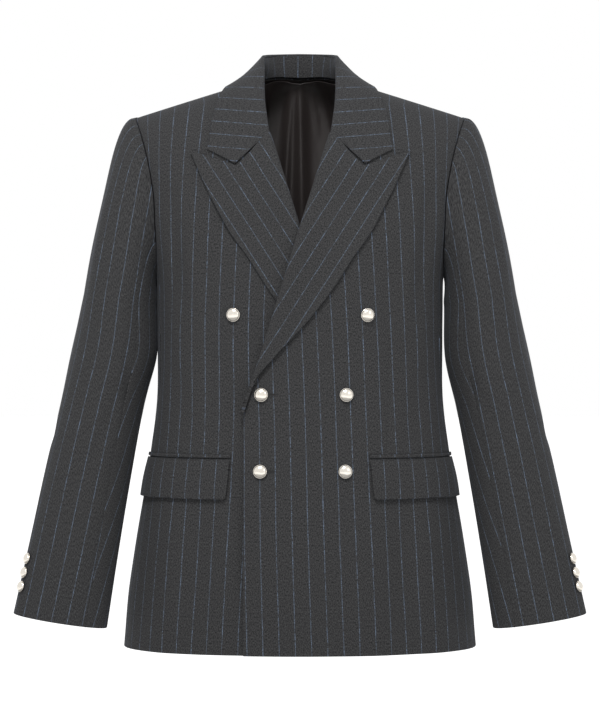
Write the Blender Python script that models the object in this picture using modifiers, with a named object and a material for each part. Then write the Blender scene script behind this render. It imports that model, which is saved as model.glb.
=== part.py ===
"""A double breasted blazer, filled out as if worn, with nobody in it.

Metres, +Z up, the front faces -Y and the wearer's left is +X. The origin is the middle of the neck,
level with the neck ends of the shoulder seams. Every cloth piece is a wall of even thickness.

The body is one form: level rings from the hem to the middle of the armholes, and from there
two sheets, front and back, that lean in and meet at the shoulder seams. The panels are cut out of
that form, the lapels and pockets lie on it, and the sleeves grow out of its armholes.
"""

import math

import bmesh
import bpy
import numpy as np
from mathutils import Matrix, Vector
from mathutils.bvhtree import BVHTree

# Cloth
CLOTH = 0.0016            # thickness of a cloth wall
LINING = 0.0010           # thickness of the lining
SEAM = 0.0003             # open gap between two pieces at a seam
LAYER = 0.0030            # from one cloth layer to the next where they lie on each other

# Heights of the body, from the hem up
HEM = -0.738
BREAK = -0.432            # where the lapels start to turn back
UNDERARM = -0.252
ARMHOLE_MID = -0.1475
JOIN = -0.262             # below here the rows of all panels are level with each other

WIDER_ABOVE = 0.55        # how early the chest widens towards the shoulder tips
FRONT_ROUND = 2.0         # roundness of the front's lean over the shoulder
BACK_ROUND = 2.6          # the middle of the back is this much squarer
ARMHOLE_SHARE = 0.936     # the armhole's edge is at this share of the ring's half width
BACK_NECK = 0.67          # share of the way up the back's lean at which the neck seam lies
SHOULDER_ROWS = (0.20, 0.40, 0.60, 0.80, 0.97, 1.0)
SEAM_STEP = 0.002         # the last step of a row before a seam is this short

# Body rings: height, half width, depth in front, depth behind, squareness
RINGS = (
    (-0.738, 0.2320, 0.128, 0.130, 2.15),
    (-0.673, 0.2257, 0.128, 0.130, 2.15),
    (-0.614, 0.2175, 0.127, 0.128, 2.20),
    (-0.546, 0.2070, 0.124, 0.123, 2.25),
    (-0.480, 0.1965, 0.120, 0.115, 2.30),
    (-0.400, 0.1870, 0.116, 0.106, 2.35),
    (-0.340, 0.1865, 0.117, 0.108, 2.35),
    (-0.300, 0.1868, 0.120, 0.112, 2.35),
    (-0.252, 0.1885, 0.123, 0.117, 2.40),
    (-0.220, 0.1935, 0.124, 0.119, 2.45),
    (-0.185, 0.2000, 0.123, 0.120, 2.50),
    (-0.1475, 0.2050, 0.121, 0.119, 2.50),
)

# Shoulders and armholes
SHOULDER_TIP = 0.219      # x of the sleeve end of the shoulder seam
NECK_POINT = 0.070        # x of its neck end
SHOULDER_Y = 0.006
SHOULDER_SLOPE = 0.315
SHOULDER_LEVEL = 0.0827   # z = 0 is this far out along the shoulder line
SHOULDER_ROUND = 0.020    # the line levels off this close to the middle
NECK_RISE = 0.010         # and rises by this much towards the neck
ARMHOLE_FRONT = 0.060     # how far the armhole reaches forward and back of the side line
ARMHOLE_BACK = 0.064
FRONT_SEAM = math.radians(78)    # round the ring from the centre front
BACK_SEAM = math.radians(112)

# Front edges, lapels and collar, as seen from the front (x, z)
OVERLAP = 0.0724          # each front reaches this far past the centre
ROLL_AT_MID = 0.018       # x of the roll line at the armholes' middle
GORGE_IN = (0.041, -0.074)
NOTCH = (0.0800, -0.1145)
COLLAR_CORNER = (0.1185, -0.0925)
PEAK = (0.1395, -0.0945)
LAPEL_EDGE = ((-0.0724, -0.432), (-0.061, -0.400), (-0.023, -0.355), (0.014, -0.311),
              (0.044, -0.269), (0.067, -0.231), (0.087, -0.203), (0.111, -0.158), PEAK)

NOTCH_AT = 0.45           # share of the lapel's and collar's width at which the notch is cut
GORGE_GAP = 0.0006

# Collar, half of it, from the centre back to the front end: columns x, y, z
COLLAR_FOLD = ((0.000, 0.0925, 0.0520), (0.030, 0.0830, 0.0505), (0.0475, 0.0500, 0.0460),
               (0.0510, 0.0150, 0.0400), (0.0505, -0.0250, 0.0210), (0.0490, -0.0640, -0.0080),
               (0.0455, -0.0950, -0.0430), (0.0410, -0.1120, -0.0735))
COLLAR_EDGE = ((0.000, 0.1090, 0.0010), (0.040, 0.1030, 0.0000), (0.0760, 0.0740, -0.0020),
               (0.0900, 0.0290, -0.0010), (0.0970, -0.0130, -0.0030), (0.1050, -0.0530, -0.0200),
               (0.1125, -0.0830, -0.0480), (0.1185, -0.1020, -0.0925))

COLLAR_SWELL = 0.0030     # the fall bulges by this much between its fold and its edge
COLLAR_END = 0.93         # the stand ends this far along the collar
STAND_INSIDE = (0.0045, 0.0030)     # the stand lies this far inside the neck seam and the fold
NECK_BACK_SHARE = 0.45    # share of half the neck seam that lies behind the shoulder seam
NECK_SEAM_DROP = 0.68     # the front end of the neck seam is this much of the lean below the seam
CHEST_MIDDLE = (0, 0, -0.12)
COLLAR_ROUND = 0.12       # the swell points outwards at this radius, and up by half as much
SWELL_UP = 0.06
NOTCH_NEAR_END = 9        # power by which the notch's cut dies out along the collar
STAND_CLEAR = (0.0012, 0.0015)      # the stand ends this far above the neck seam and below the fold
LINING_EASE = 0.0040      # the back's lining hangs this far inside its cloth
LINING_SIDE = math.radians(128)     # it reaches this far round from the front
LINING_LOW = -0.170       # level of its lower edge, and share of the neck's level at its upper one
LINING_TOP = 0.99
FLAP_STANDS_OFF = 0.0012  # a flap's lower edge stands off by this

# Sleeve rings below the armhole: height and x and y of the middle, half width, half depth
SLEEVE = (
    (-0.282, 0.2375, 0.000, 0.0480, 0.0670),
    (-0.353, 0.2455, -0.002, 0.0545, 0.0635),
    (-0.415, 0.2590, -0.006, 0.0540, 0.0595),
    (-0.514, 0.2785, -0.020, 0.0562, 0.0525),
    (-0.613, 0.2960, -0.038, 0.0585, 0.0440),
    (-0.700, 0.3112, -0.053, 0.0614, 0.0375),
)
SLEEVE_GAP = 0.0005       # from the armhole's edge to the sleeve head
SLEEVE_LEAN = math.radians(9.0)
# How the head leaves the armhole, in metres of slope: outwards and upwards, each with what is
# added towards the top, and to the front and back
SLEEVE_OUT = (0.016, 0.084)
SLEEVE_UP = (-0.035, 0.050)
SLEEVE_ASIDE = 0.020
SLEEVE_ARRIVES = (0.030, 0.190)     # how straight it comes down, under the arm and added on top
SLEEVE_RADIUS = 0.060     # about half the upper sleeve's width
TURN = math.radians(18)   # one step round the armhole, on the panels and the sleeves alike
SLEEVE_SEAM_FRONT = -2 * TURN
SLEEVE_SEAM_BACK = 11 * TURN

# Pockets, as seen from the front
POCKET_TOP = -0.482
WELT_HEIGHT = 0.006
FLAP_BOTTOM = -0.540
POCKET_IN = 0.0885
POCKET_OUT = math.radians(84)

# Buttons
BUTTON_RADIUS = 0.0093
CUFF_BUTTON_RADIUS = 0.0076
BUTTON_PLACES = {"top": (0.0850, -0.3045), "middle": (0.0585, -0.4065), "bottom": (0.0570, -0.5040)}
BUTTONS_TO_RIGHT = {"top": -0.0855, "middle": -0.0490, "bottom": -0.0503}
CUFF_BUTTON_UP = (0.072, 0.054, 0.036)    # above the cuff's edge
CUFF_BUTTON_ROUND = math.radians(66)
SHANK = (0.0018, 0.0022)  # radius and length of a button's shank
BUTTON_RIM = 0.0009
BUTTON_HEIGHT = 0.52      # of its radius
BUTTONHOLE = (0.0160, 0.0024, 0.0007)
HOLE_FROM_SHANK = 0.0030  # from the middle of the shank to the end of the buttonhole
HOLE_LIFT = 0.0005        # from the cloth to the buttonhole's stitches


# ---------------------------------------------------------------- curves and tables

def smooth(rows, at):
    """Reads every column of a table at a value of its first one, on a smooth curve through the rows."""
    table = np.asarray(rows, float)
    keys = table[:, 0]
    slopes = np.gradient(table, keys, axis=0)
    at = np.clip(np.asarray(at, float), keys[0], keys[-1])
    i = np.clip(np.searchsorted(keys, at, side="right") - 1, 0, len(keys) - 2)
    width = keys[i + 1] - keys[i]
    t = ((at - keys[i]) / width)[..., None]
    width = width[..., None]
    return ((2 * t**3 - 3 * t**2 + 1) * table[i] + (t**3 - 2 * t**2 + t) * width * slopes[i]
            + (3 * t**2 - 2 * t**3) * table[i + 1] + (t**3 - t**2) * width * slopes[i + 1])


def curve(points, at):
    """A point of a smooth curve through the points, where at goes from 0 to 1 along it."""
    points = np.asarray(points, float)
    steps = np.linalg.norm(np.diff(points, axis=0), axis=1)
    along = np.concatenate([[0], np.cumsum(steps)])
    return smooth(np.column_stack([along / along[-1], points]), at)[..., 1:]


def even(points, count):
    """The same line with count points an equal distance apart."""
    points = np.asarray(points, float)
    along = np.concatenate([[0], np.cumsum(np.linalg.norm(np.diff(points, axis=0), axis=1))])
    where = np.linspace(0, along[-1], count)
    return np.column_stack([np.interp(where, along, points[:, k]) for k in range(points.shape[1])])


def fade(value, full, gone):
    """1 at full and 0 at gone, eased between them."""
    t = np.clip((np.asarray(value, float) - gone) / (full - gone), 0, 1)
    return t * t * (3 - 2 * t)


# ---------------------------------------------------------------- the body form

def shoulder_height(x):
    straight = (SHOULDER_LEVEL - np.hypot(x, SHOULDER_ROUND)) * SHOULDER_SLOPE
    return straight + NECK_RISE * fade(np.abs(x), 0.0, 0.090)


def body_point(angle, level):
    """A point of the body. The angle goes round from the centre front, 0, by the side to the back, pi.

    A level up to 0 is a height below the middle of the armholes. From 0 to 1 it rises from there
    to the shoulder line, and each sheet leans in over the shoulder.
    """
    angle, level = np.broadcast_arrays(np.asarray(angle, float), np.asarray(level, float))
    ring = smooth(RINGS, np.minimum(level, 0) + ARMHOLE_MID)
    half_width, front, back, squareness = (ring[..., k] for k in (1, 2, 3, 4))
    sine, cosine = np.sin(angle), np.cos(angle)
    x = half_width * np.sign(sine) * np.abs(sine) ** (2 / squareness)
    y = -np.where(cosine > 0, front, back) * np.sign(cosine) * np.abs(cosine) ** (2 / squareness)
    z = ARMHOLE_MID + np.minimum(level, 0)
    rise = np.clip(level, 0, 1)
    armhole_x = smooth(RINGS, ARMHOLE_MID)[1] * ARMHOLE_SHARE
    inner = np.clip(np.abs(x) / armhole_x, 0, 1)
    roundness = FRONT_ROUND + np.where(cosine > 0, 0, BACK_ROUND * (1 - inner**2))
    lift = np.sin(rise * math.pi / 2) ** (2 / roundness)
    lean = np.cos(rise * math.pi / 2) ** (2 / roundness)
    wide = 1 + (SHOULDER_TIP / armhole_x - 1) * lift * (WIDER_ABOVE + (1 - WIDER_ABOVE) * lift)
    x = np.where(level > 0, x * wide, x)
    z = np.where(level > 0, ARMHOLE_MID + (shoulder_height(x) - ARMHOLE_MID) * lift, z)
    y = np.where(level > 0, SHOULDER_Y + (y - SHOULDER_Y) * lean, y)
    return np.stack([x, y, z], axis=-1)


def widening():
    """How much wider the body is at the shoulder line than at the middle of the armholes."""
    return SHOULDER_TIP / (smooth(RINGS, ARMHOLE_MID)[1] * ARMHOLE_SHARE)


def outward(angle, level):
    """The direction straight out of the body's cloth."""
    step = 1e-4
    across = body_point(angle + step, level) - body_point(angle - step, level)
    up = body_point(angle, level + step) - body_point(angle, level - step)
    normal = np.cross(across, up)
    return normal / np.linalg.norm(normal, axis=-1, keepdims=True)


def angle_of_x(x, level):
    """The angle, in front, at which a ring has this x."""
    ring = smooth(RINGS, np.minimum(level, 0) + ARMHOLE_MID)
    share = np.clip(np.abs(x) / ring[..., 1], 0, 1)
    return np.sign(x) * np.arcsin(share ** (ring[..., 4] / 2))


def front_angle_level(x, z):
    """The angle and level of the point of the front that is seen at x, z."""
    level = min(z - ARMHOLE_MID, 0.0)
    if z <= ARMHOLE_MID:
        return float(angle_of_x(x, level)), level
    angle, level = float(angle_of_x(x, 0.0)), 0.3
    for _ in range(40):
        here = body_point(angle, level)
        lift = min(max((z - ARMHOLE_MID) / (shoulder_height(x) - ARMHOLE_MID), 0.0), 1.0)
        level = math.asin(lift) / (math.pi / 2)
        ratio = here[0] / float(body_point(angle, 0.0)[0]) if angle else 1.0
        angle = float(angle_of_x(x / ratio, 0.0))
    return angle, level


def overlap_lift(x, z, side):
    """How far out a front is moved where the wearer's left one lies over the right one.

    x runs from the centre towards the front's own side.
    """
    near = fade(x, 0.080, 0.150) * fade(z, -0.205, -0.150)
    return side * LAYER * near


def on_front(x, z, side, layers):
    """A point seen at x, z, that many cloth layers above the front panel of a side."""
    angle, level = front_angle_level(x, z)
    out = outward(angle, level)
    return body_point(angle, level) + out * (layers * LAYER + overlap_lift(x, z, side))


def armhole_angle(height, behind):
    """The angle of the armhole's edge on the ring at a height, in front of the side or behind it."""
    ring = smooth(RINGS, height)
    down = np.clip((ARMHOLE_MID - height) / (ARMHOLE_MID - UNDERARM), 0, 1)
    reach = (ARMHOLE_BACK if behind else ARMHOLE_FRONT) * np.sqrt(1 - down**2)
    share = np.arccos(np.clip(reach / ring[3 if behind else 2], 0, 1) ** (ring[4] / 2))
    return math.pi - share if behind else share


def armhole_height(turn):
    """The height of a point of the armhole's lower half."""
    return ARMHOLE_MID + (ARMHOLE_MID - UNDERARM) * math.sin(turn)


def armhole_meets(angle, behind):
    """The height at which a line straight up the body at an angle runs into the armhole."""
    low, high = UNDERARM, ARMHOLE_MID
    for _ in range(50):
        middle = (low + high) / 2
        panel = armhole_angle(middle, behind) > angle
        low, high = (middle, high) if panel != behind else (low, middle)
    return (low + high) / 2


# ---------------------------------------------------------------- solids

def clear_scene():
    for thing in list(bpy.data.objects):
        bpy.data.objects.remove(thing, do_unlink=True)


def collection_for(name):
    made = bpy.data.collections.new(name)
    bpy.context.scene.collection.children.link(made)
    return made


def material(name, colour, roughness, metallic=0.0, sheen=0.0):
    made = bpy.data.materials.new(name)
    made.use_nodes = True
    shader = made.node_tree.nodes["Principled BSDF"]
    shader.inputs["Base Color"].default_value = (*colour, 1.0)
    shader.inputs["Roughness"].default_value = roughness
    shader.inputs["Metallic"].default_value = metallic
    shader.inputs["Sheen Weight"].default_value = sheen
    made.diffuse_color = (*colour, 1.0)
    return made


def trim(grid, first_row=0.0, last_row=0.0, first_column=0.0, last_column=0.0):
    """Pulls the edges of a grid of points in by these lengths, to leave room for a seam."""
    grid = grid.copy()
    for axis, at, beside, by in ((0, 0, 1, first_row), (0, -1, -2, last_row),
                                 (1, 0, 1, first_column), (1, -1, -2, last_column)):
        edge = grid[at] if axis == 0 else grid[:, at]
        inner = grid[beside] if axis == 0 else grid[:, beside]
        length = np.maximum(np.linalg.norm(inner - edge, axis=-1, keepdims=True), 1e-9)
        edge += (inner - edge) / length * by
    return grid


def cloth_piece(name, grid, finish, thickness=CLOTH, out=(0, 0, 0)):
    """A cloth wall behind a grid of points. Its outer side faces away from the point out."""
    rows, columns = grid.shape[:2]
    mesh = bpy.data.meshes.new(name)
    shape = bmesh.new()
    corners = [[shape.verts.new(grid[r, c]) for c in range(columns)] for r in range(rows)]
    for r in range(rows - 1):
        for c in range(columns - 1):
            shape.faces.new((corners[r][c], corners[r][c + 1], corners[r + 1][c + 1], corners[r + 1][c]))
    bmesh.ops.remove_doubles(shape, verts=shape.verts, dist=2e-5)
    bmesh.ops.dissolve_degenerate(shape, edges=shape.edges, dist=2e-5)
    shape.normal_update()
    facing = sum(f.normal.dot(f.calc_center_median() - Vector(out)) * f.calc_area() for f in shape.faces)
    if facing < 0:
        bmesh.ops.reverse_faces(shape, faces=shape.faces)
    shape.to_mesh(mesh)
    shape.free()
    mesh.shade_smooth()
    mesh.materials.append(finish)
    piece = bpy.data.objects.new(name, mesh)
    blazer.objects.link(piece)
    wall = piece.modifiers.new("wall", "SOLIDIFY")
    wall.thickness = thickness
    wall.offset = -1.0
    wall.use_even_offset = True
    return piece


# ---------------------------------------------------------------- body panels

def spaced(length, count):
    """Distances along a row, even but for one short step at each end, where a seam is."""
    return np.concatenate([[0], np.linspace(SEAM_STEP, length - SEAM_STEP, count - 2), [length]])


def heights_up_to(top):
    """The rows of a panel from the hem to a height above JOIN."""
    rows = list(np.linspace(HEM, BREAK, 7)) + list(np.linspace(BREAK, JOIN, 6))[1:]
    return rows + list(np.linspace(JOIN, top, 3))[1:]


def arc_angles(start, end, level, columns):
    """The angles of a panel's columns on one ring."""
    fine = np.linspace(start, end, 240)
    points = body_point(fine, level)
    along = np.concatenate([[0], np.cumsum(np.linalg.norm(np.diff(points, axis=0), axis=1))])
    return np.interp(spaced(along[-1], columns), along, fine)


def front_inner_x(level):
    """x of a front's inner edge on the wearer's left: the straight edge, then the roll line."""
    if level <= BREAK - ARMHOLE_MID:
        return -OVERLAP
    if level <= 0:
        share = 1 - level / (BREAK - ARMHOLE_MID)
        return -OVERLAP + (ROLL_AT_MID + OVERLAP) * share
    lift = math.sin(level * math.pi / 2)
    return ROLL_AT_MID + (NECK_POINT / widening() - ROLL_AT_MID) * lift


def front_panel(side, finish):
    meet = armhole_meets(FRONT_SEAM, False)
    heights = heights_up_to(meet) + [armhole_height(turn) for turn in (-2 * TURN, -TURN, 0)]
    rows = []
    for level in [height - ARMHOLE_MID for height in heights] + list(SHOULDER_ROWS):
        below = min(level, 0.0)
        start = float(angle_of_x(front_inner_x(level), below))
        end = FRONT_SEAM
        if below + ARMHOLE_MID > meet:
            end = float(armhole_angle(below + ARMHOLE_MID, False))
        rows.append(body_point(arc_angles(start, end, below, 11), level))
    grid = np.array(rows)
    grid[..., 1] -= np.vectorize(overlap_lift)(grid[..., 0], grid[..., 2], side)
    grid[..., 0] *= side
    grid = trim(grid, last_row=SEAM / 2, last_column=SEAM / 2)
    name = "front_left" if side > 0 else "front_right"
    return cloth_piece(name, grid, finish, out=(0, 0, -0.3))


def side_panel(side, finish):
    """The piece under the arm, whose upper edge is the bottom of the armhole."""
    columns = []
    for angle in arc_angles(FRONT_SEAM, BACK_SEAM, JOIN - ARMHOLE_MID, 7):
        top = armhole_meets(angle, angle > math.pi / 2)
        columns.append([body_point(angle, height - ARMHOLE_MID) for height in heights_up_to(top)])
    grid = np.swapaxes(np.array(columns), 0, 1)
    grid[..., 0] *= side
    grid = trim(grid, 0, SEAM / 2, SEAM / 2, SEAM / 2)
    return cloth_piece("side_left" if side > 0 else "side_right", grid, finish, out=(0, 0, -0.3))


def neck_level(angle):
    """How far up the back reaches: to the neck seam near the middle, else to the shoulder seam."""
    x = np.abs(body_point(angle, 1.0)[..., 0])
    return 1 - (1 - BACK_NECK) * fade(x, 0, NECK_POINT)


def back_panel(side, finish):
    meet = armhole_meets(BACK_SEAM, True)
    rows = []
    for height in heights_up_to(meet) + [armhole_height(turn) for turn in (-TURN, 0)]:
        end = BACK_SEAM if height <= meet else float(armhole_angle(height, True))
        level = height - ARMHOLE_MID
        rows.append(body_point(arc_angles(math.pi, end, level, 10), level))
    angles = arc_angles(math.pi, float(armhole_angle(ARMHOLE_MID, True)), 0.0, 10)
    for share in SHOULDER_ROWS:
        rows.append(body_point(angles, share * neck_level(angles)))
    grid = np.array(rows)
    grid[..., 0] *= side
    grid = trim(grid, 0, SEAM / 2, SEAM / 2, SEAM / 2)
    return cloth_piece("back_left" if side > 0 else "back_right", grid, finish, out=(0, 0, -0.3))


def back_lining(finish):
    """The lining of the upper back, which shows through the neck."""
    inset = CLOTH + LINING_EASE
    angles = arc_angles(LINING_SIDE, math.pi, 0.0, 8)
    angles = np.concatenate([angles, (2 * math.pi - angles)[-2::-1]])
    rows = []
    for share in np.linspace(0, 1, 12):
        level = LINING_LOW + share * (LINING_TOP * neck_level(angles) - LINING_LOW)
        rows.append(body_point(angles, level) - outward(angles, level) * inset)
    grid = np.array(rows)
    return cloth_piece("back_lining", grid, finish, LINING, out=(0, -0.05, -0.3))


# ---------------------------------------------------------------- lapels and collar

def lapel(side, finish):
    """A peak lapel, turned back along the roll line and lying on its front."""
    rows = []
    roll_mid = (ROLL_AT_MID, ARMHOLE_MID)
    roll = ((-OVERLAP, BREAK), roll_mid, GORGE_IN)
    for up in np.linspace(0, 1, 15):
        inner = curve(roll, up)
        outer = curve(LAPEL_EDGE, up)
        row = []
        for across in (0, 0.14, 0.28, NOTCH_AT, 0.6, 0.8, 1):
            top = [np.interp(across, (0, NOTCH_AT, 1), ends) for ends in zip(GORGE_IN, NOTCH, PEAK)]
            straight = (1 - across) * np.array(GORGE_IN) + across * np.array(PEAK)
            x, z = (1 - across) * inner + across * outer + up**3 * (np.array(top) - straight)
            row.append(on_front(x, z - GORGE_GAP * up**9, side, 1))
        rows.append(row)
    grid = np.array(rows)
    grid[..., 0] *= side
    name = "lapel_left" if side > 0 else "lapel_right"
    return cloth_piece(name, grid, finish, out=(0, 0, -0.2))


def collar_lines(along):
    """The collar's fold and outer edge, from the wearer's right end, -1, to the left end, 1."""
    fold, edge = curve(COLLAR_FOLD, abs(along)), curve(COLLAR_EDGE, abs(along))
    flip = np.array([math.copysign(1, along), 1, 1])
    return fold * flip, edge * flip


def upper_body():
    """The form from the chest up, to keep other pieces clear of it."""
    front = np.linspace(-math.pi / 2, math.pi / 2, 121)
    levels = np.linspace(-0.06, 1, 60)[:, None]
    points, faces = [], []
    for angles in (front, front + math.pi):
        start = len(points)
        points += [Vector(p) for p in body_point(angles, levels).reshape(-1, 3)]
        for r in range(len(levels) - 1):
            for c in range(len(angles) - 1):
                a = start + r * len(angles) + c
                faces.append((a, a + 1, a + 1 + len(angles), a + len(angles)))
    return BVHTree.FromPolygons(points, faces)


def clear_of(body, point, gap):
    """Moves a point out of the body until it is a gap above it, eased over the last millimetres."""
    place, normal, _, _ = body.find_nearest(Vector(point))
    if normal.dot(place - Vector(CHEST_MIDDLE)) < 0:
        normal = -normal
    height = (Vector(point) - place).dot(normal)
    soft = 0.002
    lifted = gap + soft * math.log1p(math.exp(min((height - gap) / soft, 50)))
    return np.array(Vector(point) + normal * (lifted - height))


def collar_fall(finish):
    """The fall of the collar, from the fold over the shoulders to its edge, with a cut for each notch."""
    body = upper_body()
    gorge = np.array([(0.0, *GORGE_IN), (NOTCH_AT, *NOTCH), (1.0, *COLLAR_CORNER)])
    rows = []
    for along in np.linspace(-1, 1, 31):
        fold, edge = collar_lines(along)
        row = []
        for across in (0, 0.12, 0.3, NOTCH_AT, 0.75, 1):
            point = (1 - across) * fold + across * edge
            swell = COLLAR_SWELL * math.sin(across * math.pi)
            point += np.array([point[0], point[1], SWELL_UP]) / COLLAR_ROUND * swell
            straight = (1 - across) * gorge[0, 1:] + across * gorge[-1, 1:]
            end = [np.interp(across, gorge[:, 0], gorge[:, k]) for k in (1, 2)] - straight
            near_end = abs(along) ** NOTCH_NEAR_END
            point[0] += end[0] * near_end * math.copysign(1, along)
            point[2] += end[1] * near_end
            row.append(clear_of(body, point, LAYER))
        rows.append(row)
    return cloth_piece("collar_fall", np.array(rows), finish, out=CHEST_MIDDLE)


def neck_line(along):
    """A point of the neck seam, from the wearer's right front end, -1, to the left, 1."""
    share = abs(along)
    if share <= NECK_BACK_SHARE:
        x = NECK_POINT * share / NECK_BACK_SHARE
        angle = math.pi - float(angle_of_x(x / widening(), 0.0))
        point = body_point(angle, float(neck_level(angle)))
    else:
        level = 1 - (share - NECK_BACK_SHARE) / (1 - NECK_BACK_SHARE) * NECK_SEAM_DROP
        angle = float(angle_of_x(front_inner_x(level), 0.0))
        point = body_point(angle, level)
    return point * np.array([math.copysign(1, along), 1, 1])


def collar_stand(finish):
    """The band that rises from the neck seam inside the collar."""
    rows = []
    at_seam, at_fold = STAND_INSIDE
    for along in np.linspace(-COLLAR_END, COLLAR_END, 25):
        low = neck_line(along)
        high, _ = collar_lines(along)
        inside = np.array([-low[0], -low[1], 0.0])
        inside = inside / np.linalg.norm(inside)
        low = low + inside * at_seam + np.array([0, 0, STAND_CLEAR[0]])
        high = high + inside * at_fold - np.array([0, 0, STAND_CLEAR[1]])
        rows.append([low + (high - low) * share for share in np.linspace(0, 1, 4)])
    return cloth_piece("collar_stand", np.array(rows), finish, out=(0, 0.0, -0.10))


# ---------------------------------------------------------------- sleeves

def armhole_point(turn):
    """A point of the armhole: 0 in front, a quarter turn at the top, half a turn behind."""
    sine, cosine = math.sin(turn), math.cos(turn)
    behind = cosine < 0
    if sine >= 0:
        level = math.asin(min(sine, 1.0)) / (math.pi / 2)
        return body_point(float(armhole_angle(ARMHOLE_MID, behind)), level)
    height = armhole_height(turn)
    return body_point(float(armhole_angle(height, behind)), height - ARMHOLE_MID)


def sleeve_ring_point(turn, row):
    height, x, y, half_width, half_depth = row
    across = half_width * math.sin(turn)
    lean = math.cos(SLEEVE_LEAN), math.sin(SLEEVE_LEAN)
    return np.array([x + across * lean[0], y - half_depth * math.cos(turn), height + across * lean[1]])


def sleeve_point(turn, along):
    """A point of the sleeve: along goes from 0, the armhole, to 1, the first ring, to 2, the cuff."""
    down = np.array([math.sin(SLEEVE_LEAN), 0, -math.cos(SLEEVE_LEAN)])
    if along >= 1:
        height = SLEEVE[0][0] + (SLEEVE[-1][0] - SLEEVE[0][0]) * (along - 1)
        return sleeve_ring_point(turn, smooth(SLEEVE[::-1], height))
    start = armhole_point(turn) + np.array([SLEEVE_GAP, 0, 0])
    end = sleeve_ring_point(turn, SLEEVE[0])
    top = (1 + math.sin(turn)) / 2
    outwards, upwards, arrives = (low + more * top for low, more in (SLEEVE_OUT, SLEEVE_UP, SLEEVE_ARRIVES))
    leave = np.array([outwards, -SLEEVE_ASIDE * math.cos(turn), upwards])
    arrive = down * arrives
    t = along
    return ((2 * t**3 - 3 * t**2 + 1) * start + (t**3 - 2 * t**2 + t) * leave
            + (3 * t**2 - 2 * t**3) * end + (t**3 - t**2) * arrive)


def sleeve_piece(name, side, start, end, finish):
    stations = list(np.linspace(0, 1, 7)) + list(np.linspace(1, 2, 9)[1:])
    narrow = SEAM_STEP / SLEEVE_RADIUS
    steps = round((end - start) / TURN)
    turns = [start, start + narrow, *(start + TURN * k for k in range(1, steps)), end - narrow, end]
    grid = np.array([[sleeve_point(turn, along) for turn in turns] for along in stations])
    grid[..., 0] *= side
    grid = trim(grid, 0, 0, SEAM / 2, SEAM / 2)
    return cloth_piece(name, grid, finish, out=(SLEEVE[1][1] * side, SLEEVE[1][2], SLEEVE[1][0]))


def sleeve(side, finish):
    hand = "left" if side > 0 else "right"
    sleeve_piece(f"top_sleeve_{hand}", side, SLEEVE_SEAM_FRONT, SLEEVE_SEAM_BACK, finish)
    end = SLEEVE_SEAM_FRONT + 2 * math.pi
    sleeve_piece(f"under_sleeve_{hand}", side, SLEEVE_SEAM_BACK, end, finish)


# ---------------------------------------------------------------- pockets

def pocket_grid(low, high, lift_low, lift_high, rows, columns, side):
    grid = []
    for share in np.linspace(0, 1, rows):
        height = low + (high - low) * share
        level = height - ARMHOLE_MID
        angles = np.linspace(float(angle_of_x(POCKET_IN, level)), POCKET_OUT, 60)
        lift = lift_low + (lift_high - lift_low) * share
        points = body_point(angles, level) + outward(angles, level) * lift
        grid.append(even(points, columns))
    grid = np.array(grid)
    grid[..., 1] -= np.vectorize(overlap_lift)(grid[..., 0], grid[..., 2], side)
    grid[..., 0] *= side
    return grid


def pocket(side, finish):
    """A jetted pocket: the flap hangs out from under the welt."""
    hand = "left" if side > 0 else "right"
    welt_low = POCKET_TOP - WELT_HEIGHT
    welt = pocket_grid(welt_low, POCKET_TOP, LAYER, LAYER, 2, 10, side)
    cloth_piece(f"pocket_welt_{hand}", welt, finish, out=(0, 0, -0.5))
    flap = pocket_grid(FLAP_BOTTOM, welt_low - SEAM, LAYER + FLAP_STANDS_OFF, LAYER, 4, 10, side)
    cloth_piece(f"pocket_flap_{hand}", flap, finish, out=(0, 0, -0.5))


# ---------------------------------------------------------------- buttons

def button(name, radius, place, out, finish):
    """A domed button on a shank, turned about the line straight out of the cloth."""
    height = radius * BUTTON_HEIGHT
    shank_radius, shank = SHANK
    dome = [(radius * math.sin(t), BUTTON_RIM + (height - BUTTON_RIM) * math.cos(t))
            for t in np.linspace(0, math.pi / 2, 5)]
    foot = [(radius * 0.95, 0.0), (shank_radius * 1.1, 0.0), (shank_radius, -shank), (0.0, -shank)]
    profile = dome + foot
    mesh = bpy.data.meshes.new(name)
    shape = bmesh.new()
    points = [shape.verts.new((x, 0, z)) for x, z in profile]
    for a, b in zip(points, points[1:]):
        shape.edges.new((a, b))
    shape.to_mesh(mesh)
    shape.free()
    mesh.materials.append(finish)
    made = bpy.data.objects.new(name, mesh)
    blazer.objects.link(made)
    turned = made.modifiers.new("turned", "SCREW")
    turned.steps = turned.render_steps = 14
    turned.use_merge_vertices = True
    turned.merge_threshold = 0.00005
    turned.use_smooth_shade = True
    out = Vector(out).normalized()
    made.location = Vector(place) + out * (shank + SEAM)
    made.rotation_euler = out.to_track_quat("Z", "Y").to_euler()
    return made


def front_button(name, x, z, finish):
    side = 1 if x > -OVERLAP else -1
    place = on_front(x * side, z, side, 0) * np.array([side, 1, 1])
    angle, level = front_angle_level(x * side, z)
    out = outward(angle, level) * np.array([side, 1, 1])
    button(name, BUTTON_RADIUS, place, out, finish)
    return Vector(place), Vector(out)


def buttonhole(name, place, out, finish):
    """A stitched buttonhole, running on from its button's shank."""
    length, width, thick = BUTTONHOLE
    bpy.ops.mesh.primitive_cube_add(size=1)
    hole = bpy.context.active_object
    hole.name = hole.data.name = name
    hole.data.transform(Matrix.Diagonal((length, width, thick, 1)))
    hole.data.materials.append(finish)
    along = (Vector((1, 0, 0)) - out * out.x).normalized()
    up = out.cross(along)
    turn = Matrix((along, up, out)).transposed()
    hole.rotation_euler = turn.to_euler()
    hole.location = place + along * (HOLE_FROM_SHANK + length / 2) + out * (thick / 2 + HOLE_LIFT)
    for holder in list(hole.users_collection):
        holder.objects.unlink(hole)
    blazer.objects.link(hole)


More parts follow.
